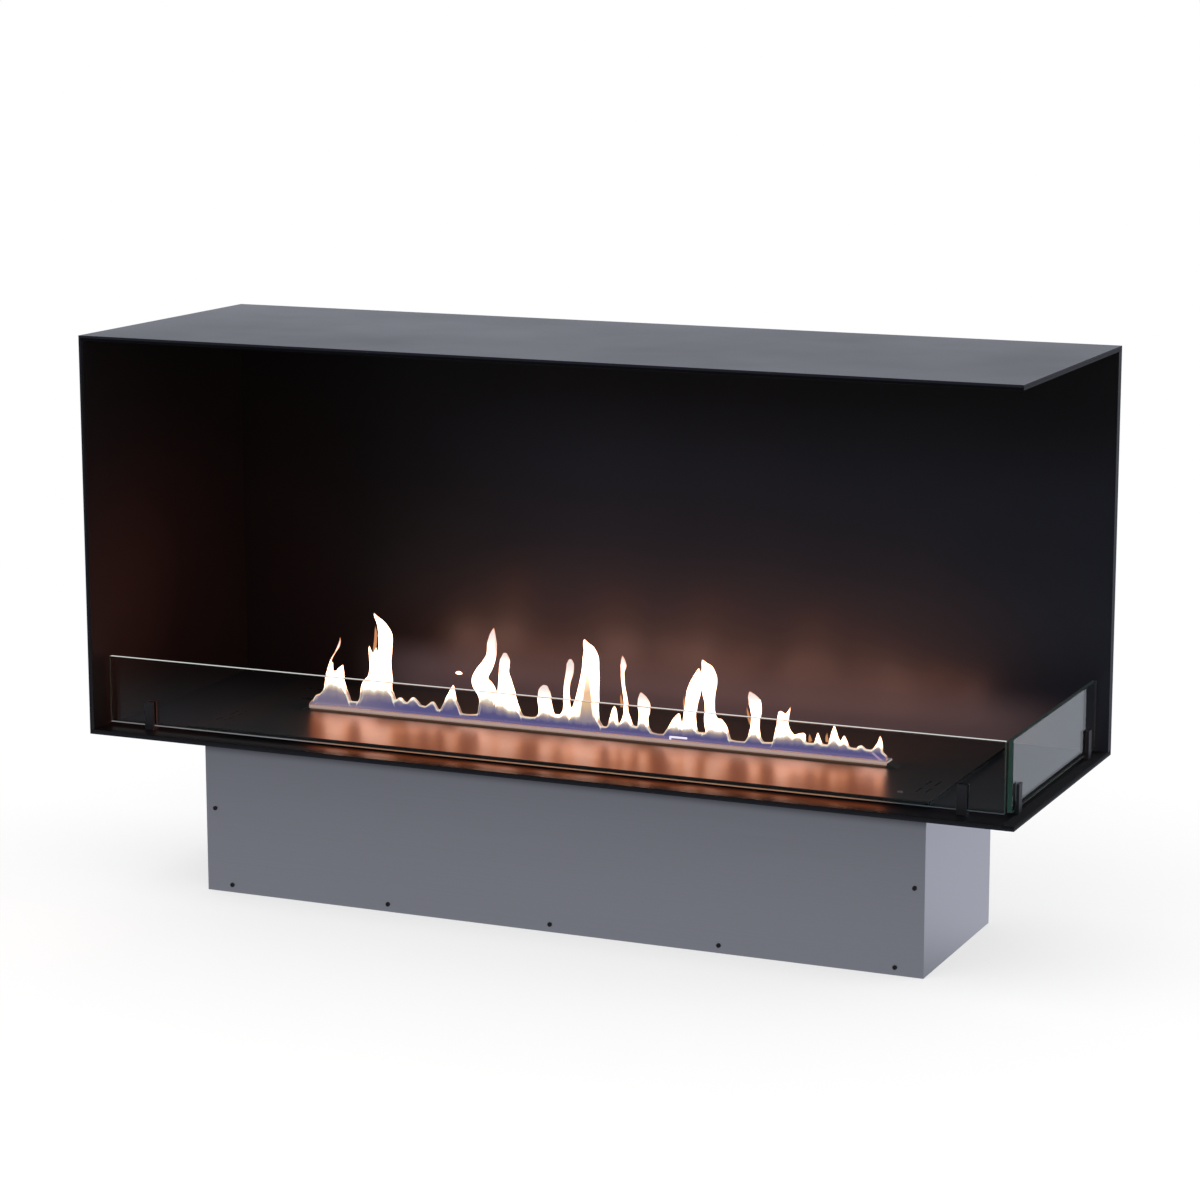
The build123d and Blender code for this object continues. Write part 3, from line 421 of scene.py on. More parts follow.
boxLook = {"dark": (0.51, 0.51, 0.535), "pale": (0.615, 0.615, 0.64), "roughness": (0.34, 0.46),
           "fineness": 1.0, "bump": 0.12, "depth": 0.00005, "shader": {"Metallic": 1.0},
           "shadeReach": (0.029, 0.011), "shade": 0.20}     # painted shade, soft and dark, under the casing's overhang
lipLook = {"dark": (0.52, 0.40, 0.36), "pale": (0.66, 0.53, 0.49), "roughness": (0.45, 0.58), "fineness": 1.0,
           "bump": 0.1, "depth": 0.00003, "shader": {"Metallic": 0.15, "IOR": 1.15}}
sheetLook = {**boxLook, "dark": (0.40, 0.40, 0.41), "pale": (0.52, 0.52, 0.53), "roughness": (0.4, 0.55)}
zincLook = {**boxLook, "dark": (0.52, 0.53, 0.50), "pale": (0.70, 0.71, 0.68), "roughness": (0.3, 0.45)}
brassLook = {**boxLook, "dark": (0.62, 0.42, 0.16), "pale": (0.78, 0.56, 0.24), "roughness": (0.28, 0.42)}
ceramicLook = {**clipLook, "dark": (0.55, 0.52, 0.47), "pale": (0.74, 0.72, 0.68), "roughness": (0.85, 0.95),
               "grain": 1500.0, "patches": 80.0, "bump": 0.8, "depth": 0.0003, "shader": {"IOR": 1.4}}
boardLook = {**plasticLook, "dark": (0.01, 0.09, 0.035), "pale": (0.015, 0.13, 0.05), "patches": 200.0}
nylonLook = {**plasticLook, "dark": (0.66, 0.65, 0.60), "pale": (0.74, 0.73, 0.69)}
supplyLook = {**plasticLook, "dark": (0.20, 0.21, 0.22), "pale": (0.26, 0.27, 0.28)}
foamLook = {**rubberLook, "dark": (0.035, 0.035, 0.04), "pale": (0.06, 0.06, 0.065)}

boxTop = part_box("box_front_panel")[1].z
alongX, alongY, alongZ = (4.0, 900.0, 900.0), (900.0, 4.0, 900.0), (900.0, 900.0, 4.0)
alongLip = (12.0, 1500.0, 1500.0)
finishes = {
    "casing_black": paint("casingPaint", casingLook),
    "liner_black": paint("linerPaint", linerLook),
    "plain_steel": brushed("plainSteel", sheetLook, alongX),
    "brushed_box": brushed("boxSteelAlongX", boxLook, alongX, boxTop),
    "black_screw": paint("blackScrew", clipLook),
    "zinc_nut": brushed("zincNut", zincLook, alongY),
    "plate_black": paint("plateEnamel", plateLook),
    "ramp_black": paint("rampEnamel", rampLook),
    "lip_steel": brushed("lipSteel", lipLook, alongLip),
    "seal_rubber": paint("sealRubber", rubberLook),
    "clip_black": paint("clipPaint", clipLook),
    "wick_ceramic": paint("wickCeramic", ceramicLook),
    "tank_steel": brushed("tankSteel", zincLook, alongZ),
    "float_foam": paint("floatFoam", foamLook),
    "pump_black": paint("pumpPlastic", plasticLook),
    "valve_brass": brushed("valveBrass", brassLook, alongZ),
    "board_green": paint("boardGreen", boardLook),
    "board_black": paint("boardParts", plasticLook),
    "nylon_white": paint("nylonWhite", nylonLook),
    "supply_grey": paint("supplyCase", supplyLook),
    "socket_black": paint("socketPlastic", plasticLook),
}


def lightUp(name, node, finish, glow):
    # a finish with painted flame light, as emission, strongest on the node's upper part
    material = finish.copy()
    material.name = name
    tree = material.node_tree
    shader = tree.nodes["Principled BSDF"]
    low, high = (corner.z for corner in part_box(node))
    place = addNode(tree, "TexCoord")
    up = splitVector(tree, place.outputs["Object"])["Z"]
    upper = fadeIn(tree, up, [low + share * (high - low) for share in glow["fade"]], "SMOOTHSTEP")
    lit = mixColors(tree, upper, glow["low"], glow["high"])
    if "top" in glow:           # its upper face has the flames' lamp light already: there the painted light is dimmer and the color is painted darker, as shade
        level = looksAlong(tree, place, "Z")
        lit = mixColors(tree, level, lit, glow["top"])
        bare = shader.inputs["Base Color"].links[0].from_socket
        wire(tree, mixColors(tree, level, bare, glow["topPaintedShade"]), shader.inputs["Base Color"])
    wire(tree, lit, shader.inputs["Emission Color"])
    shader.inputs["Emission Strength"].default_value = 1.0
    return material


# painted flame light, as emission, on the lip and its plinth; the lip's upper face also gets painted shade
lipPaintedLight = {"low": (0.10, 0.05, 0.035), "high": (0.31, 0.20, 0.185), "fade": (0.0, 0.4),
           "top": (0.10, 0.085, 0.10), "topPaintedShade": (0.15, 0.12, 0.12)}
# painted glints, as emission, on the flame sensor and the igniter rod
sensorPaintedGlint = {"low": (0.15, 0.13, 0.18), "high": (2.3, 2.2, 2.5), "fade": (0.75, 0.95)}
igniterPaintedGlint = {"low": (0.02, 0.02, 0.02), "high": (0.50, 0.40, 0.52), "fade": (0.0, 1.0)}
plinthPaintedLight = {"low": (0.07, 0.026, 0.013), "high": (0.085, 0.034, 0.018), "fade": (0.0, 1.0)}
wallPaintedLight = {
    "foot": (0.055, 0.034, 0.036), "footUp": (0.235, 0.285), "left": (-0.44, -0.32), "right": (0.44, 0.60),
    "roomLight": (0.0036, 0.0042, 0.0070), "roomLightAcross": (-0.38, -0.05), "roomLightUp": (0.50, 0.64),
}


def lightWallFoot(name, finish, glow):
    # the wall behind the burner: painted flame light on its foot and painted room light on its open end, both
    # as emission
    material = finish.copy()
    material.name = name
    tree = material.node_tree
    shader = tree.nodes["Principled BSDF"]
    across, _, up = splitVector(tree, addNode(tree, "TexCoord").outputs["Object"])
    foot = fadeOut(tree, up, glow["footUp"], "SMOOTHSTEP")
    left = fadeIn(tree, across, glow["left"], "SMOOTHSTEP")
    right = fadeOut(tree, across, glow["right"], "SMOOTHSTEP")
    share = addMath(tree, "MULTIPLY", foot, addMath(tree, "MULTIPLY", left, right))
    roomLight = addMath(tree, "MULTIPLY", fadeIn(tree, across, glow["roomLightAcross"], "SMOOTHSTEP"),
                   fadeOut(tree, up, glow["roomLightUp"], "SMOOTHSTEP"))
    lit = mixColors(tree, share, mixColors(tree, roomLight, (0, 0, 0), glow["roomLight"]), glow["foot"])
    wire(tree, lit, shader.inputs["Emission Color"])
    shader.inputs["Emission Strength"].default_value = 1.0
    return material


ownFinishes = {
    "floor_liner": paint("floorPaint", floorLook),
    "top_liner": paint("topPaint", topLook),
    "back_liner": lightWallFoot("litBackPaint", finishes["liner_black"], wallPaintedLight),
    "burner_lip": lightUp("litLip", "burner_lip", finishes["lip_steel"], lipPaintedLight),
    "flame_sensor": lightUp("litSensor", "flame_sensor", finishes["lip_steel"], sensorPaintedGlint),
    "igniter_rod": lightUp("litRod", "igniter_rod", finishes["lip_steel"], igniterPaintedGlint),
    "power_button": brushed("buttonSteel", sheetLook, alongY),
    "lip_plinth": lightUp("litPlinth", "lip_plinth", finishes["ramp_black"], plinthPaintedLight),
}
ownFinishes["box_left_end"] = ownFinishes["box_right_end"] = brushed("boxSteelAlongY", boxLook, alongY)

glassLook = {
    "ior": 1.36, "tint": (0.93, 0.985, 0.96), "green": (0.35, 0.85, 0.62), "density": 9.0,
    "edgeTint": (0.12, 0.13, 0.12), "edgeRoughness": 1.0,
    "flamesFrom": (-0.33, -0.25), "flamesTo": (0.38, 0.46),     # the stretch before the flames
}
# painted light on a pane's edges, as emission: a green glow at its ends, a painted highlight along its top
# and another at its foot the foot's three colors: at the left, before the flames, where it is their painted
# reflection, and at the right
frontEdgePaintedLight = {"ends": (0.0008, 0.020, 0.014), "top": (0.62, 0.64, 0.62),
             "foot": ((0.17, 0.17, 0.18), (0.28, 0.135, 0.075), (0.02, 0.03, 0.04))}
sideEdgePaintedLight = {"ends": (0.0008, 0.020, 0.014), "top": (0.006, 0.011, 0.010),
            "foot": ((0.004, 0.008, 0.007),) * 3}


def makeGlass(name, faceAxis, edgePaintedLight):
    # faceAxis: the axis that the pane's large faces look along
    material, tree, shader = newMaterial(name, {
        "Roughness": 0.0, "IOR": glassLook["ior"], "Transmission Weight": 1.0,
        "Emission Strength": 1.0})
    out = tree.nodes["Material Output"]
    path = addNode(tree, "LightPath")
    clear = addNode(tree, "BsdfTransparent", {"Color": (*glassLook["tint"], 1)})
    mix = addNode(tree, "MixShader")
    depth = addNode(tree, "VolumeAbsorption", {"Color": (*glassLook["green"], 1),
                                               "Density": glassLook["density"]})
    place = addNode(tree, "TexCoord")
    facing = splitVector(tree, place.outputs["Normal"])
    edge = addMath(tree, "LESS_THAN", addMath(tree, "ABSOLUTE", facing[faceAxis]), mostly)
    inside = addNode(tree, "NewGeometry").outputs["Backfacing"]
    outside = addMath(tree, "SUBTRACT", 1.0, inside)
    # from inside the glass a face reads as looking the other way, so it is turned back
    upward = addMath(tree, "MULTIPLY", facing["Z"], between(tree, inside, 1.0, -1.0))
    above = addMath(tree, "GREATER_THAN", upward, mostly)
    below = addMath(tree, "LESS_THAN", upward, -mostly)
    across = splitVector(tree, place.outputs["Object"])["X"]
    # the painted edge light: highlights, and the flames' painted reflection along the foot
    left, middle, right = edgePaintedLight["foot"]
    foot = mixColors(tree, fadeIn(tree, across, glassLook["flamesFrom"]), left, middle)
    foot = mixColors(tree, fadeIn(tree, across, glassLook["flamesTo"]), foot, right)
    glow = mixColors(tree, above, edgePaintedLight["ends"], edgePaintedLight["top"])
    glow = mixColors(tree, below, glow, foot)
    edge = addMath(tree, "MAXIMUM", edge, below)            # with the small chamfers beside it
    outside = addMath(tree, "MAXIMUM", outside, below)      # the foot shows through the pane
    wire(tree, mixColors(tree, addMath(tree, "MULTIPLY", edge, outside), (0, 0, 0), glow),
         shader.inputs["Emission Color"],
         mixColors(tree, edge, glassLook["tint"], glassLook["edgeTint"]), shader.inputs["Base Color"],
         between(tree, edge, 0.0, glassLook["edgeRoughness"]), shader.inputs["Roughness"],
         path.outputs["Is Shadow Ray"], mix.inputs["Fac"], shader.outputs[0], mix.inputs[1],
         clear.outputs[0], mix.inputs[2], mix.outputs[0], out.inputs["Surface"],
         depth.outputs[0], out.inputs["Volume"])
    return material


ownFinishes["front_glass"] = makeGlass("frontPaneGlass", "Y", frontEdgePaintedLight)
ownFinishes["side_glass"] = makeGlass("sidePaneGlass", "X", sideEdgePaintedLight)


def dressNodes():
    for part in frame["record"]["subparts"]:
        name = part["node"]
        material = ownFinishes.get(name) or finishes[part["material_slot"]]
        nodes[name].data.materials.clear()
        nodes[name].data.materials.append(material)


dressNodes()
nodes["burner_lip"].visible_glossy = False      # the enamel mirrors the flames over it, not its own front
print("finishes are on")

# flames of the line burner: middle, height over the lip and half width, from foot to tip, in mm
tongues = {
    "first": ((-357, 3, 30), (-356, 10, 23), (-356, 20, 17), (-357, 32, 14), (-358, 42, 12.5)),
    "firstLeftTip": ((-365, 38, 5), (-364, 46, 4), (-361, 52, 1.4), (-360, 54, 0.8)),
    "firstRightTip": ((-351, 36, 7), (-349, 44, 5.5), (-346.5, 50, 2), (-345, 53, 0.8)),
    "wisp": ((-366, 46, 2.4), (-363, 57, 1.3), (-357, 67, 1.2), (-351.5, 76, 1.9), (-349.5, 82, 1.5),
             (-349, 88, 0.7)),
    "tall": ((-294, 3, 32), (-294, 12, 26), (-294, 26, 23), (-291, 37, 18), (-289, 51, 15), (-285, 66, 10),
             (-283, 80, 9.5), (-283, 96, 10), (-286, 105, 7.5), (-290, 112, 5), (-295, 118, 2.6),
             (-299, 124, 0.8)),
    "tallLeft": ((-300, 40, 8), (-300, 52, 5.5), (-302.5, 66, 3.6), (-305, 76, 2), (-306, 82, 0.8)),
    "tallNick": ((-298, 60, 4), (-297, 72, 3), (-296, 81, 0.8)),
    "rippleA": ((-262, 6, 12), (-262, 12, 8), (-262, 18, 2.5)),
    "rippleB": ((-243, 8, 12), (-243, 14, 8), (-243, 20, 2.5)),
    "rippleC": ((-218, 5, 12), (-217, 11, 7), (-216, 17, 2)),
    "spike": ((-192, 2, 17), (-192, 10, 13), (-192, 20, 8), (-190.5, 31, 4.2), (-190, 40, 1)),
    "spark": ((-187, 55, 1.5), (-182, 55.5, 3), (-177, 54.5, 1.2)),
    "curl": ((-140, 4, 16), (-141, 14, 13), (-142, 26, 11), (-147, 37, 10), (-154, 46, 10.5), (-150, 57, 10),
             (-142, 69, 8.5), (-136.5, 81, 7), (-135, 97, 7), (-134, 108, 4.4), (-132, 118, 0.8)),
    "curlFoot": ((-136, 20, 9), (-135, 34, 6.5), (-138, 44, 4.5), (-143, 50, 3)),
    "thumb": ((-112, 4, 22), (-113, 14, 18), (-114, 26, 14.5), (-115.5, 38, 12), (-117, 50, 9.5),
              (-118.5, 63, 6.8), (-117, 78, 7), (-117, 87, 2.6)),
    "bulb": ((-60, 5, 17), (-59, 14, 11.5), (-60, 24, 9.8), (-62, 35, 9.7), (-62.5, 44, 8.4), (-61, 51, 3.6)),
    "candle": ((-34, 12, 8), (-31, 22, 5.4), (-31, 32, 4.6), (-32, 44, 4), (-31, 57, 4.2), (-28, 70, 5.2),
               (-27, 81, 5), (-27, 87.5, 2)),
    "great": ((-8, 4, 25), (-8, 14, 19.5), (-6, 30, 16.3), (-4, 48, 14), (-2, 64, 12.4), (-1, 78, 11),
              (-1, 91, 10.4), (-3, 100, 7.5), (-7, 107, 4), (-9.5, 114, 0.8)),
    "bud": ((30, 4, 9), (30, 12, 6.5), (30.5, 21, 4.8), (31, 29, 3.2), (31, 33, 1)),
    "match": ((47, 6, 13), (47.5, 16, 7), (47, 26, 3.6), (45.5, 42, 2.9), (42.5, 60, 2.4), (41.5, 76, 2.7),
              (42.5, 84, 4.4), (42, 91, 3), (41, 97, 0.8)),
    "leaf": ((70, 4, 12), (70, 12, 7.5), (70, 22, 6.3), (71, 31, 7.8), (69.5, 39, 8.4), (67.5, 46, 6),
             (65.5, 53, 1.2)),
    "twinFoot": ((112, 4, 15), (113, 14, 9), (115, 23, 6), (118, 32, 1.6)),
    "twinLeft": ((131, 6, 14), (132, 18, 10), (132.5, 32, 8.4), (134, 46, 8.6), (137, 60, 9.6),
                 (139.5, 70, 8.2), (142, 80, 5.4), (144, 91, 1)),
    "twinRight": ((166, 4, 21), (166, 14, 14), (161, 26, 9.5), (158.5, 38, 6.5), (158, 50, 6.6),
                  (157, 60, 8.4), (157, 71, 10.4), (157, 80, 10.4), (154.5, 90, 8.2), (151, 96, 4),
                  (148, 102, 0.8)),
    "twinShoulder": ((172, 8, 13), (172, 20, 9), (170, 30, 4)),
    "flag": ((216, 4, 13), (216, 13, 8), (216.5, 24, 6), (217, 34, 5.8), (217, 44, 7.4), (215, 54, 8.4),
             (211, 61, 5.4), (208, 67, 1)),
    "crown": ((256, 4, 22), (254, 12, 15), (252, 22, 10), (251.5, 31, 7.2), (250, 39, 6.4), (247, 46, 2)),
    "crownTip": ((254, 30, 5), (256, 40, 3.2), (259, 47, 1.6), (261, 53, 0.8)),
    "crownRight": ((270, 6, 14), (274, 14, 9), (279, 21, 2.4)),
    "thorn": ((297, 3, 9), (297, 11, 5.5), (296.5, 18, 3), (296, 25, 0.8)),
    "peak": ((319, 4, 14), (318.5, 14, 8), (318, 24, 4.8), (318, 36, 1)),
    "peakRight": ((331, 6, 9), (331, 16, 5), (331, 25, 1.2)),
    "lastRidge": ((352, 3, 10), (352, 9, 7), (351, 14, 3)),
    "last": ((371, 4, 9), (374, 12, 6), (376, 20, 3.4), (376, 29, 0.8)),
}
# how far down from its tip a flame has lost some of its glow, in mm
dullTips = {"curl": 48, "thumb": 18, "bulb": 22, "candle": 44, "match": 26, "leaf": 26, "flag": 26,
            "wisp": 30}
embers = {          # small orange licks beside the tall ones
    "emberA": ((287, 12, 3.0), (286, 17, 2.2), (285, 22, 0.8)),
    "emberB": ((309, 14, 2.8), (308, 20, 2.2), (309, 26, 0.8)),
    "tallSide": ((-299.5, 70, 2.2), (-297, 84, 2.6), (-296, 98, 2.2), (-297, 108, 0.8)),
    "matchThorn": ((41.5, 32, 2.6), (39.5, 42, 2.0), (38.5, 50, 0.8)),
    "twinThorn": ((126, 34, 3), (124, 46, 2.0), (124, 55, 0.8)),
    "flagThorn": ((211, 26, 2), (207, 38, 1.9), (204.5, 49, 0.8)),
}
# the low blue flame that runs from end to end, as stations too
band = ((-388, -1, 4), (-360, 0, 6), (-324, 1, 6.5), (-250, 4, 9), (-208, 1, 6.5), (-167, -1, 6),
        (-120, 3, 9), (-80, 2, 7.5), (-43, 7, 10), (-20, 4, 9), (20, 0, 6.5), (50, 4, 8), (90, -2, 6),
        (150, 3, 9), (192, -1, 6), (230, 0, 7), (280, 3, 8), (338, 3, 8), (378, 2, 7), (384, 0, 4))
flameShape = {
    "perMetre": 1000,    # the stations are in mm
    "rooted": 9,         # a flame whose first station is lower than this starts down in the slot
    "root": -15,
    "sides": 4,
    "steps": 6,
    "voxel": 0.0011,     # from here on in metres
    "smoothing": 0.6,
    "smoothings": 5,
    "thick": 0.0062,     # half the sheet's thickness at most, and down in the slot
    "slot": 0.0040,
    "thickFrom": 0.012,  # it is as thick as it gets from this height on
    "flat": 0.55,        # share of a flame's width that its depth has
    "sway": 0.0022,      # the sheet wanders this far off the slot's middle
    "swayFrom": 0.02,    # in full from this height on
    "swayStep": 0.034,
    "ripple": (0.5, 2.3, 1.0),      # a second wave's size, rate and start
    "leastTurn": 0.001,  # a normal's Y is divided by, so it is never less
    "tipWidth": 13,      # a dull tip reaches this far to each side, in mm
}


def taperedTube(name, stations, y, lipTop):
    # a round tube through the stations, as thick as each station says
    perMetre = flameShape["perMetre"]
    bpy.ops.object.select_all(action="DESELECT")
    bpy.ops.curve.primitive_bezier_curve_add()
    tube = bpy.context.object
    tube.name = name
    curve = tube.data
    spline = curve.splines[0]
    spline.bezier_points.add(len(stations) - 2)
    for point, (x, height, halfWidth) in zip(spline.bezier_points, stations):
        point.handle_left_type = point.handle_right_type = "AUTO"
        point.co = (x / perMetre, y, lipTop + height / perMetre)
        point.radius = halfWidth
    curve.bevel_depth = 1 / perMetre
    curve.bevel_resolution = flameShape["sides"]
    curve.resolution_u = flameShape["steps"]
    curve.use_fill_caps = True
    bpy.ops.object.convert(target="MESH")
    return bpy.context.object


def joinPieces(pieces, name):
    bpy.ops.object.select_all(action="DESELECT")
    for piece in pieces:
        piece.select_set(True)
    bpy.context.view_layer.objects.active = pieces[0]
    bpy.ops.object.join()
    joined = bpy.context.object
    joined.name = name
    bpy.ops.object.transform_apply(location=True, rotation=True, scale=True)
    return joined


def applyModifier(piece, kind, **settings):
    modifier = piece.modifiers.new(kind, kind)
    for label, value in settings.items():
        setattr(modifier, label, value)
    bpy.context.view_layer.objects.active = piece
    bpy.ops.object.modifier_apply(modifier=modifier.name)


def dullness(x, height, shapes):
    # how much glow a flame's tip has lost at this place in mm, from 0 to 1
    share = 0.0
    for label, reach in dullTips.items():
        if label in shapes:
            tipX, tipHeight, _ = shapes[label][-1]
            if abs(x - tipX) < flameShape["tipWidth"]:
                share = max(share, min(1 - (tipHeight - height) / reach, 1.0))
    return share


def markFlames(mesh, middle, lipTop, shapes):
    # each point's own values: mm in from the flame's outline, and how much glow its tip has lost
    perMetre = flameShape["perMetre"]
    for label in ("inward", "dull"):
        mesh.attributes.new(label, "FLOAT", "POINT")
    inward, dull = mesh.attributes["inward"], mesh.attributes["dull"]
    for vertex in mesh.vertices:
        x, y, z = vertex.co
        turn = min(max(abs(vertex.normal.y), flameShape["leastTurn"]), 1.0)
        inward.data[vertex.index].value = perMetre * abs(y - middle) * (1 - sqrt(1 - turn * turn)) / turn
        dull.data[vertex.index].value = dullness(perMetre * x, perMetre * (z - lipTop), shapes)


def flattenFlames(mesh, middle, lipTop):
    # the round flames become a thin sheet that stands in the slot and sways a little over it
    slot, thick, step = flameShape["slot"], flameShape["thick"], flameShape["swayStep"]
    size, rate, start = flameShape["ripple"]
    for vertex in mesh.vertices:
        x, y, z = vertex.co
        rise = max(z - lipTop, 0.0)
        room = slot + (thick - slot) * min(rise / flameShape["thickFrom"], 1.0)
        depth = room * tanh((y - middle) * flameShape["flat"] / room)
        wave = sin(x / step) + size * sin(rate * x / step + start)
        sway = flameShape["sway"] * min(rise / flameShape["swayFrom"], 1.0)
        vertex.co.y = middle + depth + sway * wave


def makeFlames(name, shapes):
    lipLow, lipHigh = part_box("burner_lip")
    middle, lipTop = (lipLow.y + lipHigh.y) / 2, lipHigh.z
    tubes = []
    for label, stations in shapes.items():
        x, height, halfWidth = stations[0]
        if height < flameShape["rooted"]:
            stations = ((x, flameShape["root"], halfWidth), *stations)
        tubes.append(taperedTube(label, stations, middle, lipTop))
    flames = joinPieces(tubes, name)
    applyModifier(flames, "REMESH", mode="VOXEL", voxel_size=flameShape["voxel"])
    applyModifier(flames, "SMOOTH", factor=flameShape["smoothing"], iterations=flameShape["smoothings"])
    markFlames(flames.data, middle, lipTop, shapes)
    flattenFlames(flames.data, middle, lipTop)
    bpy.ops.object.select_all(action="DESELECT")
    flames.select_set(True)
    bpy.context.view_layer.objects.active = flames
    bpy.ops.object.shade_smooth()
    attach(flames, "fireplace")
    return flames


flameLook = {
    "strength": 8.0,
    "violet": (0.043, 0.033, 0.040), "blue": (0.0145, 0.0125, 0.034), "peach": (0.086, 0.059, 0.048),
    "cream": (0.128, 0.112, 0.098), "white": (1.0, 0.52, 0.36), "orange": (0.19, 0.065, 0.018),
    # heights over the lip in m, for the flames at the left; the right ones turn white sooner
    "blueTop": 0.009, "violetTop": 0.018, "peachTop": 0.0215, "creamTop": 0.025, "whiteFrom": 0.033,
    "shortEnds": (-0.135, -0.105), "shortStretch": 1.55,
    "uneven": 0.008, "streaks": (75.0, 1.0, 22.0), "streakNoise": {"Scale": 1.0, "Detail": 2.0},
    "duskEnds": (-0.33, -0.25), "dusk": 0.5,        # the left end's blue is paler
    # the great flame's heart is a tan wedge
    "tan": (0.105, 0.066, 0.041), "heartMiddle": -0.0035, "heartReach": (0.0115, 0.001), "heartTop": 0.075,
    "heartFrom": 0.012, "heartTan": 0.038, "heartPale": (0.048, 0.148), "heartEdge": (0.7, 1.15),
    # the pale rim: its width in mm low down and higher up, its soft edge, and where over the lip it sets in
    "rimWidths": (1.5, 2.9), "rimEdge": (0.5, 1.6), "rimUp": (0.001, 0.005),
    "fringe": 0.9, "fringeFrom": 0.2, "fringeCover": 0.1, "blueCover": 0.66,
    "ash": (0.104, 0.096, 0.095), "ashPower": 2.6,
    # painted reflection: what gloss picks up of the flames
    "dimCopper": (0.17, 0.062, 0.038), "copper": (0.41, 0.185, 0.140), "embered": (0.06, 0.015, 0.003),
    "patches": (17.0, 1.0, 4.0), "patchNoise": {"Scale": 1.0, "Detail": 1.0}, "patchEnds": (0.4, 0.6),
    "blaze": (0.52, 0.295, 0.230), "flank": (0.44, 0.155, 0.070), "flankEnds": (1.5, 6.0),
    "hotUp": (0.007, 0.015), "dimUp": (0.016, 0.049), "dimmed": 0.12, "copperCover": 0.97,
}


def stretchedNoise(tree, place, stretch, noise):
    drawn = addNode(tree, "Mapping")
    drawn.inputs["Scale"].default_value = stretch
    made = addNode(tree, "TexNoise", noise)
    wire(tree, place, drawn.inputs["Vector"], drawn.outputs["Vector"], made.inputs["Vector"])
    return made.outputs["Fac"]


def colorByHeight(tree, look, across, rise):
    # blue at the lip, then violet, peach, cream and white
    dusk = mapFrom(tree, across, *look["duskEnds"], look["dusk"], 0.0)
    foot = mixColors(tree, dusk, look["blue"], look["violet"])
    color = mixColors(tree, fadeIn(tree, rise, (look["blueTop"], look["violetTop"])), foot, look["violet"])
    steps = ("violetTop", "peachTop", "creamTop", "whiteFrom")
    for low, high, label in zip(steps, steps[1:], ("peach", "cream", "white")):
        color = mixColors(tree, fadeIn(tree, rise, (look[low], look[high])), color, look[label])
    return color


def addHeart(tree, look, across, up, color):
    # the wedge narrows and pales upward
    tan = fadeIn(tree, up, (look["heartFrom"], look["heartTan"]), "SMOOTHSTEP")
    heart = mixColors(tree, tan, look["violet"], look["tan"])
    heart = mixColors(tree, fadeIn(tree, up, look["heartPale"]), heart, look["white"])
    aside = addMath(tree, "ABSOLUTE", addMath(tree, "SUBTRACT", across, look["heartMiddle"]))
    reach = mapFrom(tree, up, look["heartFrom"], look["heartTop"], *look["heartReach"])
    within = fadeOut(tree, addMath(tree, "DIVIDE", aside, reach), look["heartEdge"])
    above = addMath(tree, "GREATER_THAN", up, look["heartFrom"])
    return mixColors(tree, addMath(tree, "MULTIPLY", within, above), color, heart)


def warmColor(tree, look, place, high, inward):
    # painted reflection: gloss sees the flames warmer and lower than the eye does, as in the enamel in front
    # of them
    patches = stretchedNoise(tree, place, look["patches"], look["patchNoise"])
    warmed = mixColors(tree, fadeIn(tree, patches, look["patchEnds"]), look["dimCopper"], look["copper"])
    hot = mixColors(tree, fadeIn(tree, inward, look["flankEnds"]), look["flank"], look["blaze"])
    warmed = mixColors(tree, fadeIn(tree, high, look["hotUp"]), warmed, hot)
    dimmer = mapFrom(tree, high, *look["dimUp"], 1.0, look["dimmed"])
    return mixColors(tree, dimmer, look["embered"], warmed)


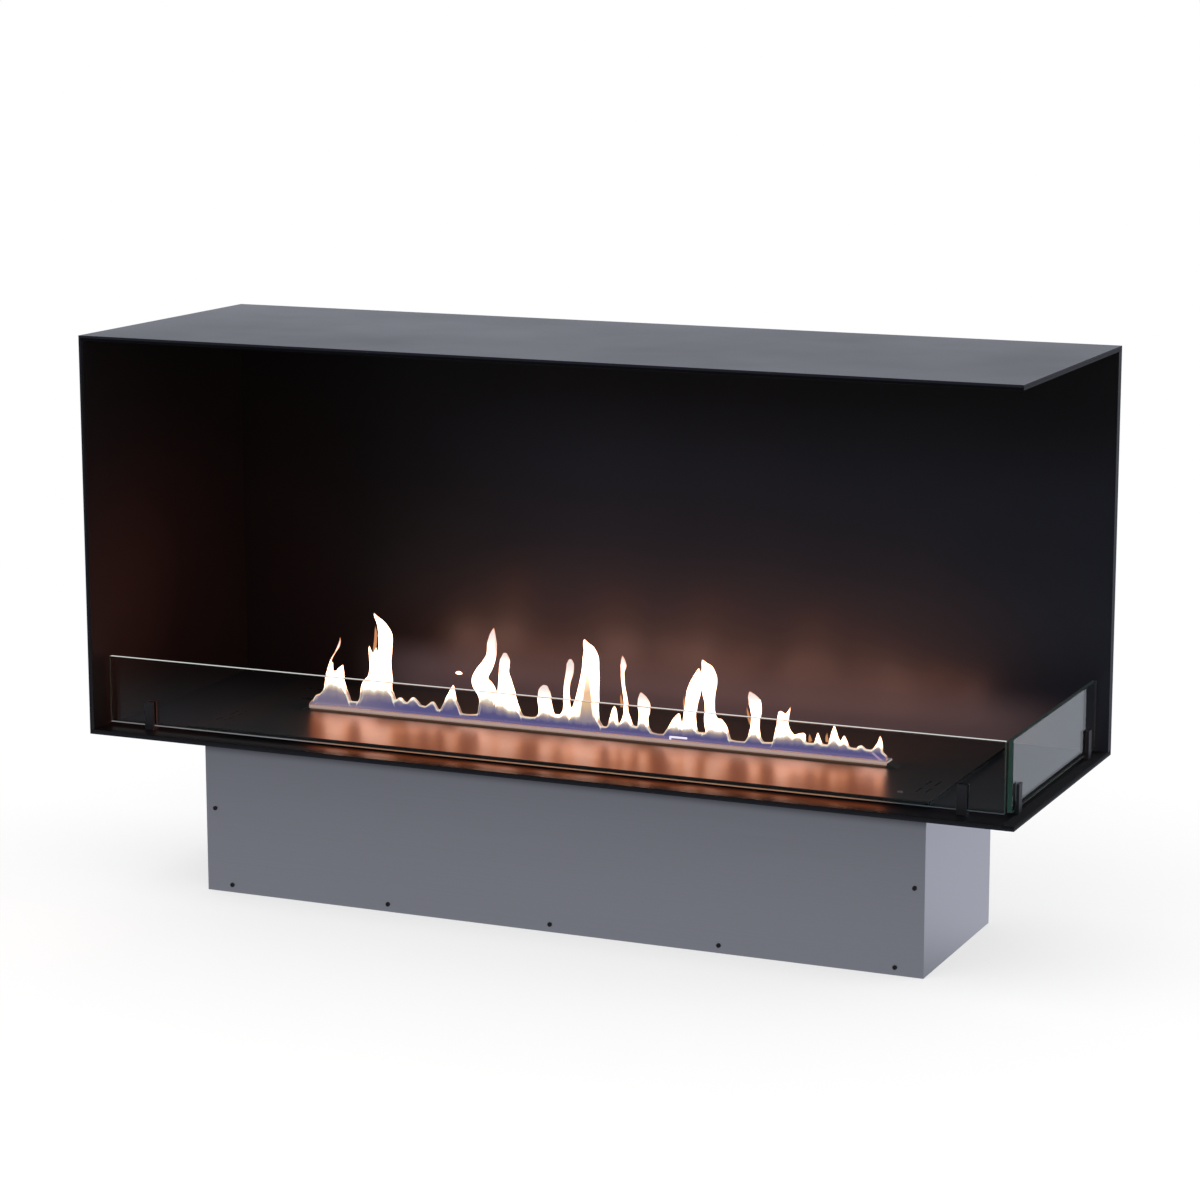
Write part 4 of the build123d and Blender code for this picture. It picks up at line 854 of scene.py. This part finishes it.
def makeFlameMaterial(name, look, lipTop):
    material, tree, shader = newMaterial(name, {
        "Base Color": (0, 0, 0), "Roughness": 1.0, "Specular IOR Level": 0.0,
        "Emission Strength": look["strength"]})
    place = addNode(tree, "TexCoord").outputs["Object"]
    inward = addNode(tree, "Attribute", attribute_name="inward").outputs["Fac"]
    dull = addNode(tree, "Attribute", attribute_name="dull").outputs["Fac"]
    across, _, up = splitVector(tree, place)
    high = addMath(tree, "SUBTRACT", up, lipTop)
    streaks = stretchedNoise(tree, place, look["streaks"], look["streakNoise"])
    uneven = addMath(tree, "MULTIPLY_ADD", streaks, 2 * look["uneven"], -look["uneven"])
    short = mapFrom(tree, across, *look["shortEnds"], 1.0, look["shortStretch"])
    rise = addMath(tree, "ADD", addMath(tree, "MULTIPLY", high, short), uneven)

    color = colorByHeight(tree, look, across, rise)
    color = addHeart(tree, look, across, addMath(tree, "ADD", high, uneven), color)
    width = mapFrom(tree, rise, look["blueTop"], look["creamTop"], *look["rimWidths"])
    rim = fadeOut(tree, addMath(tree, "DIVIDE", inward, width), look["rimEdge"], "SMOOTHSTEP")
    rim = addMath(tree, "MULTIPLY", rim, fadeIn(tree, high, look["rimUp"]))
    paler = fadeIn(tree, rise, (look["violetTop"], look["creamTop"]))
    color = mixColors(tree, rim, color, mixColors(tree, paler, look["cream"], look["white"]))
    glowing = addMath(tree, "POWER", addMath(tree, "SUBTRACT", 1.0, dull), look["ashPower"])
    color = mixColors(tree, glowing, look["ash"], color)
    fringe = fadeOut(tree, inward, (look["fringeFrom"], look["fringe"]))
    color = mixColors(tree, fringe, color, look["orange"])

    core = mapFrom(tree, rise, look["blueTop"], look["whiteFrom"], look["blueCover"], 1.0)
    thinned = mapFrom(tree, inward, 0.0, look["fringe"], look["fringeCover"], 1.0)
    cover = addMath(tree, "MULTIPLY", addMath(tree, "MAXIMUM", core, rim), thinned)

    # painted reflection: rays that come off gloss see the warmer colors and a fuller cover
    mirrored = addMath(tree, "MINIMUM", addNode(tree, "LightPath").outputs["Glossy Depth"], 1.0)
    color = mixColors(tree, mirrored, color, warmColor(tree, look, place, high, inward))
    cover = addMath(tree, "MAXIMUM", cover, addMath(tree, "MULTIPLY", mirrored, look["copperCover"]))
    wire(tree, color, shader.inputs["Emission Color"], cover, shader.inputs["Alpha"])
    return material


emberLook = {**flameLook, "white": (0.082, 0.034, 0.015), "peach": (0.06, 0.024, 0.012),
             "cream": (0.075, 0.030, 0.013), "orange": (0.05, 0.018, 0.006),
             "blaze": (0.115, 0.034, 0.010), "flank": (0.115, 0.034, 0.010)}
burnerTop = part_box("burner_lip")[1].z
for name, shapes, look in (("flames", {**tongues, "band": band}, flameLook), ("embers", embers, emberLook)):
    piece = makeFlames(name, shapes)
    piece.data.materials.append(makeFlameMaterial(name + "Glow", look, burnerTop))
    print(name + ":", len(piece.data.polygons), "faces")

springLook = {"turns": 5, "wire": 0.0005, "steps": 24, "sides": 8, "sharp": 60}


def makeSpring():
    # the start button's spring, a coil as long as the spring's part
    low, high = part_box("button_spring")
    middle = (low + high) / 2
    across, turns, steps = springLook["wire"], springLook["turns"], springLook["steps"]
    reach = (high.x - low.x - across) / 2
    rise = high.z - low.z - across
    bpy.ops.object.select_all(action="DESELECT")
    bpy.ops.mesh.primitive_circle_add(vertices=springLook["sides"], radius=across / 2,
                                      location=(reach, 0, 0), rotation=(radians(90), 0, 0))
    spring = bpy.context.object
    spring.name = "coiledSpring"
    bpy.ops.object.transform_apply(location=True, rotation=True, scale=True)
    applyModifier(spring, "SCREW", screw_offset=rise / turns, iterations=turns,
                  steps=steps, render_steps=steps)
    bpy.ops.object.mode_set(mode="EDIT")
    bpy.ops.mesh.select_all(action="SELECT")
    bpy.ops.mesh.fill_holes(sides=0)
    bpy.ops.mesh.normals_make_consistent(inside=False)
    bpy.ops.object.mode_set(mode="OBJECT")
    spring.location = (middle.x, middle.y, low.z + across / 2)
    bpy.ops.object.transform_apply(location=True, rotation=True, scale=True)
    bpy.ops.object.shade_smooth_by_angle(angle=radians(springLook["sharp"]))
    spring.data.materials.append(finishes["plain_steel"])
    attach(spring, "fireplace")
    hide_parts("button_spring")
    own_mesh(spring)


makeSpring()
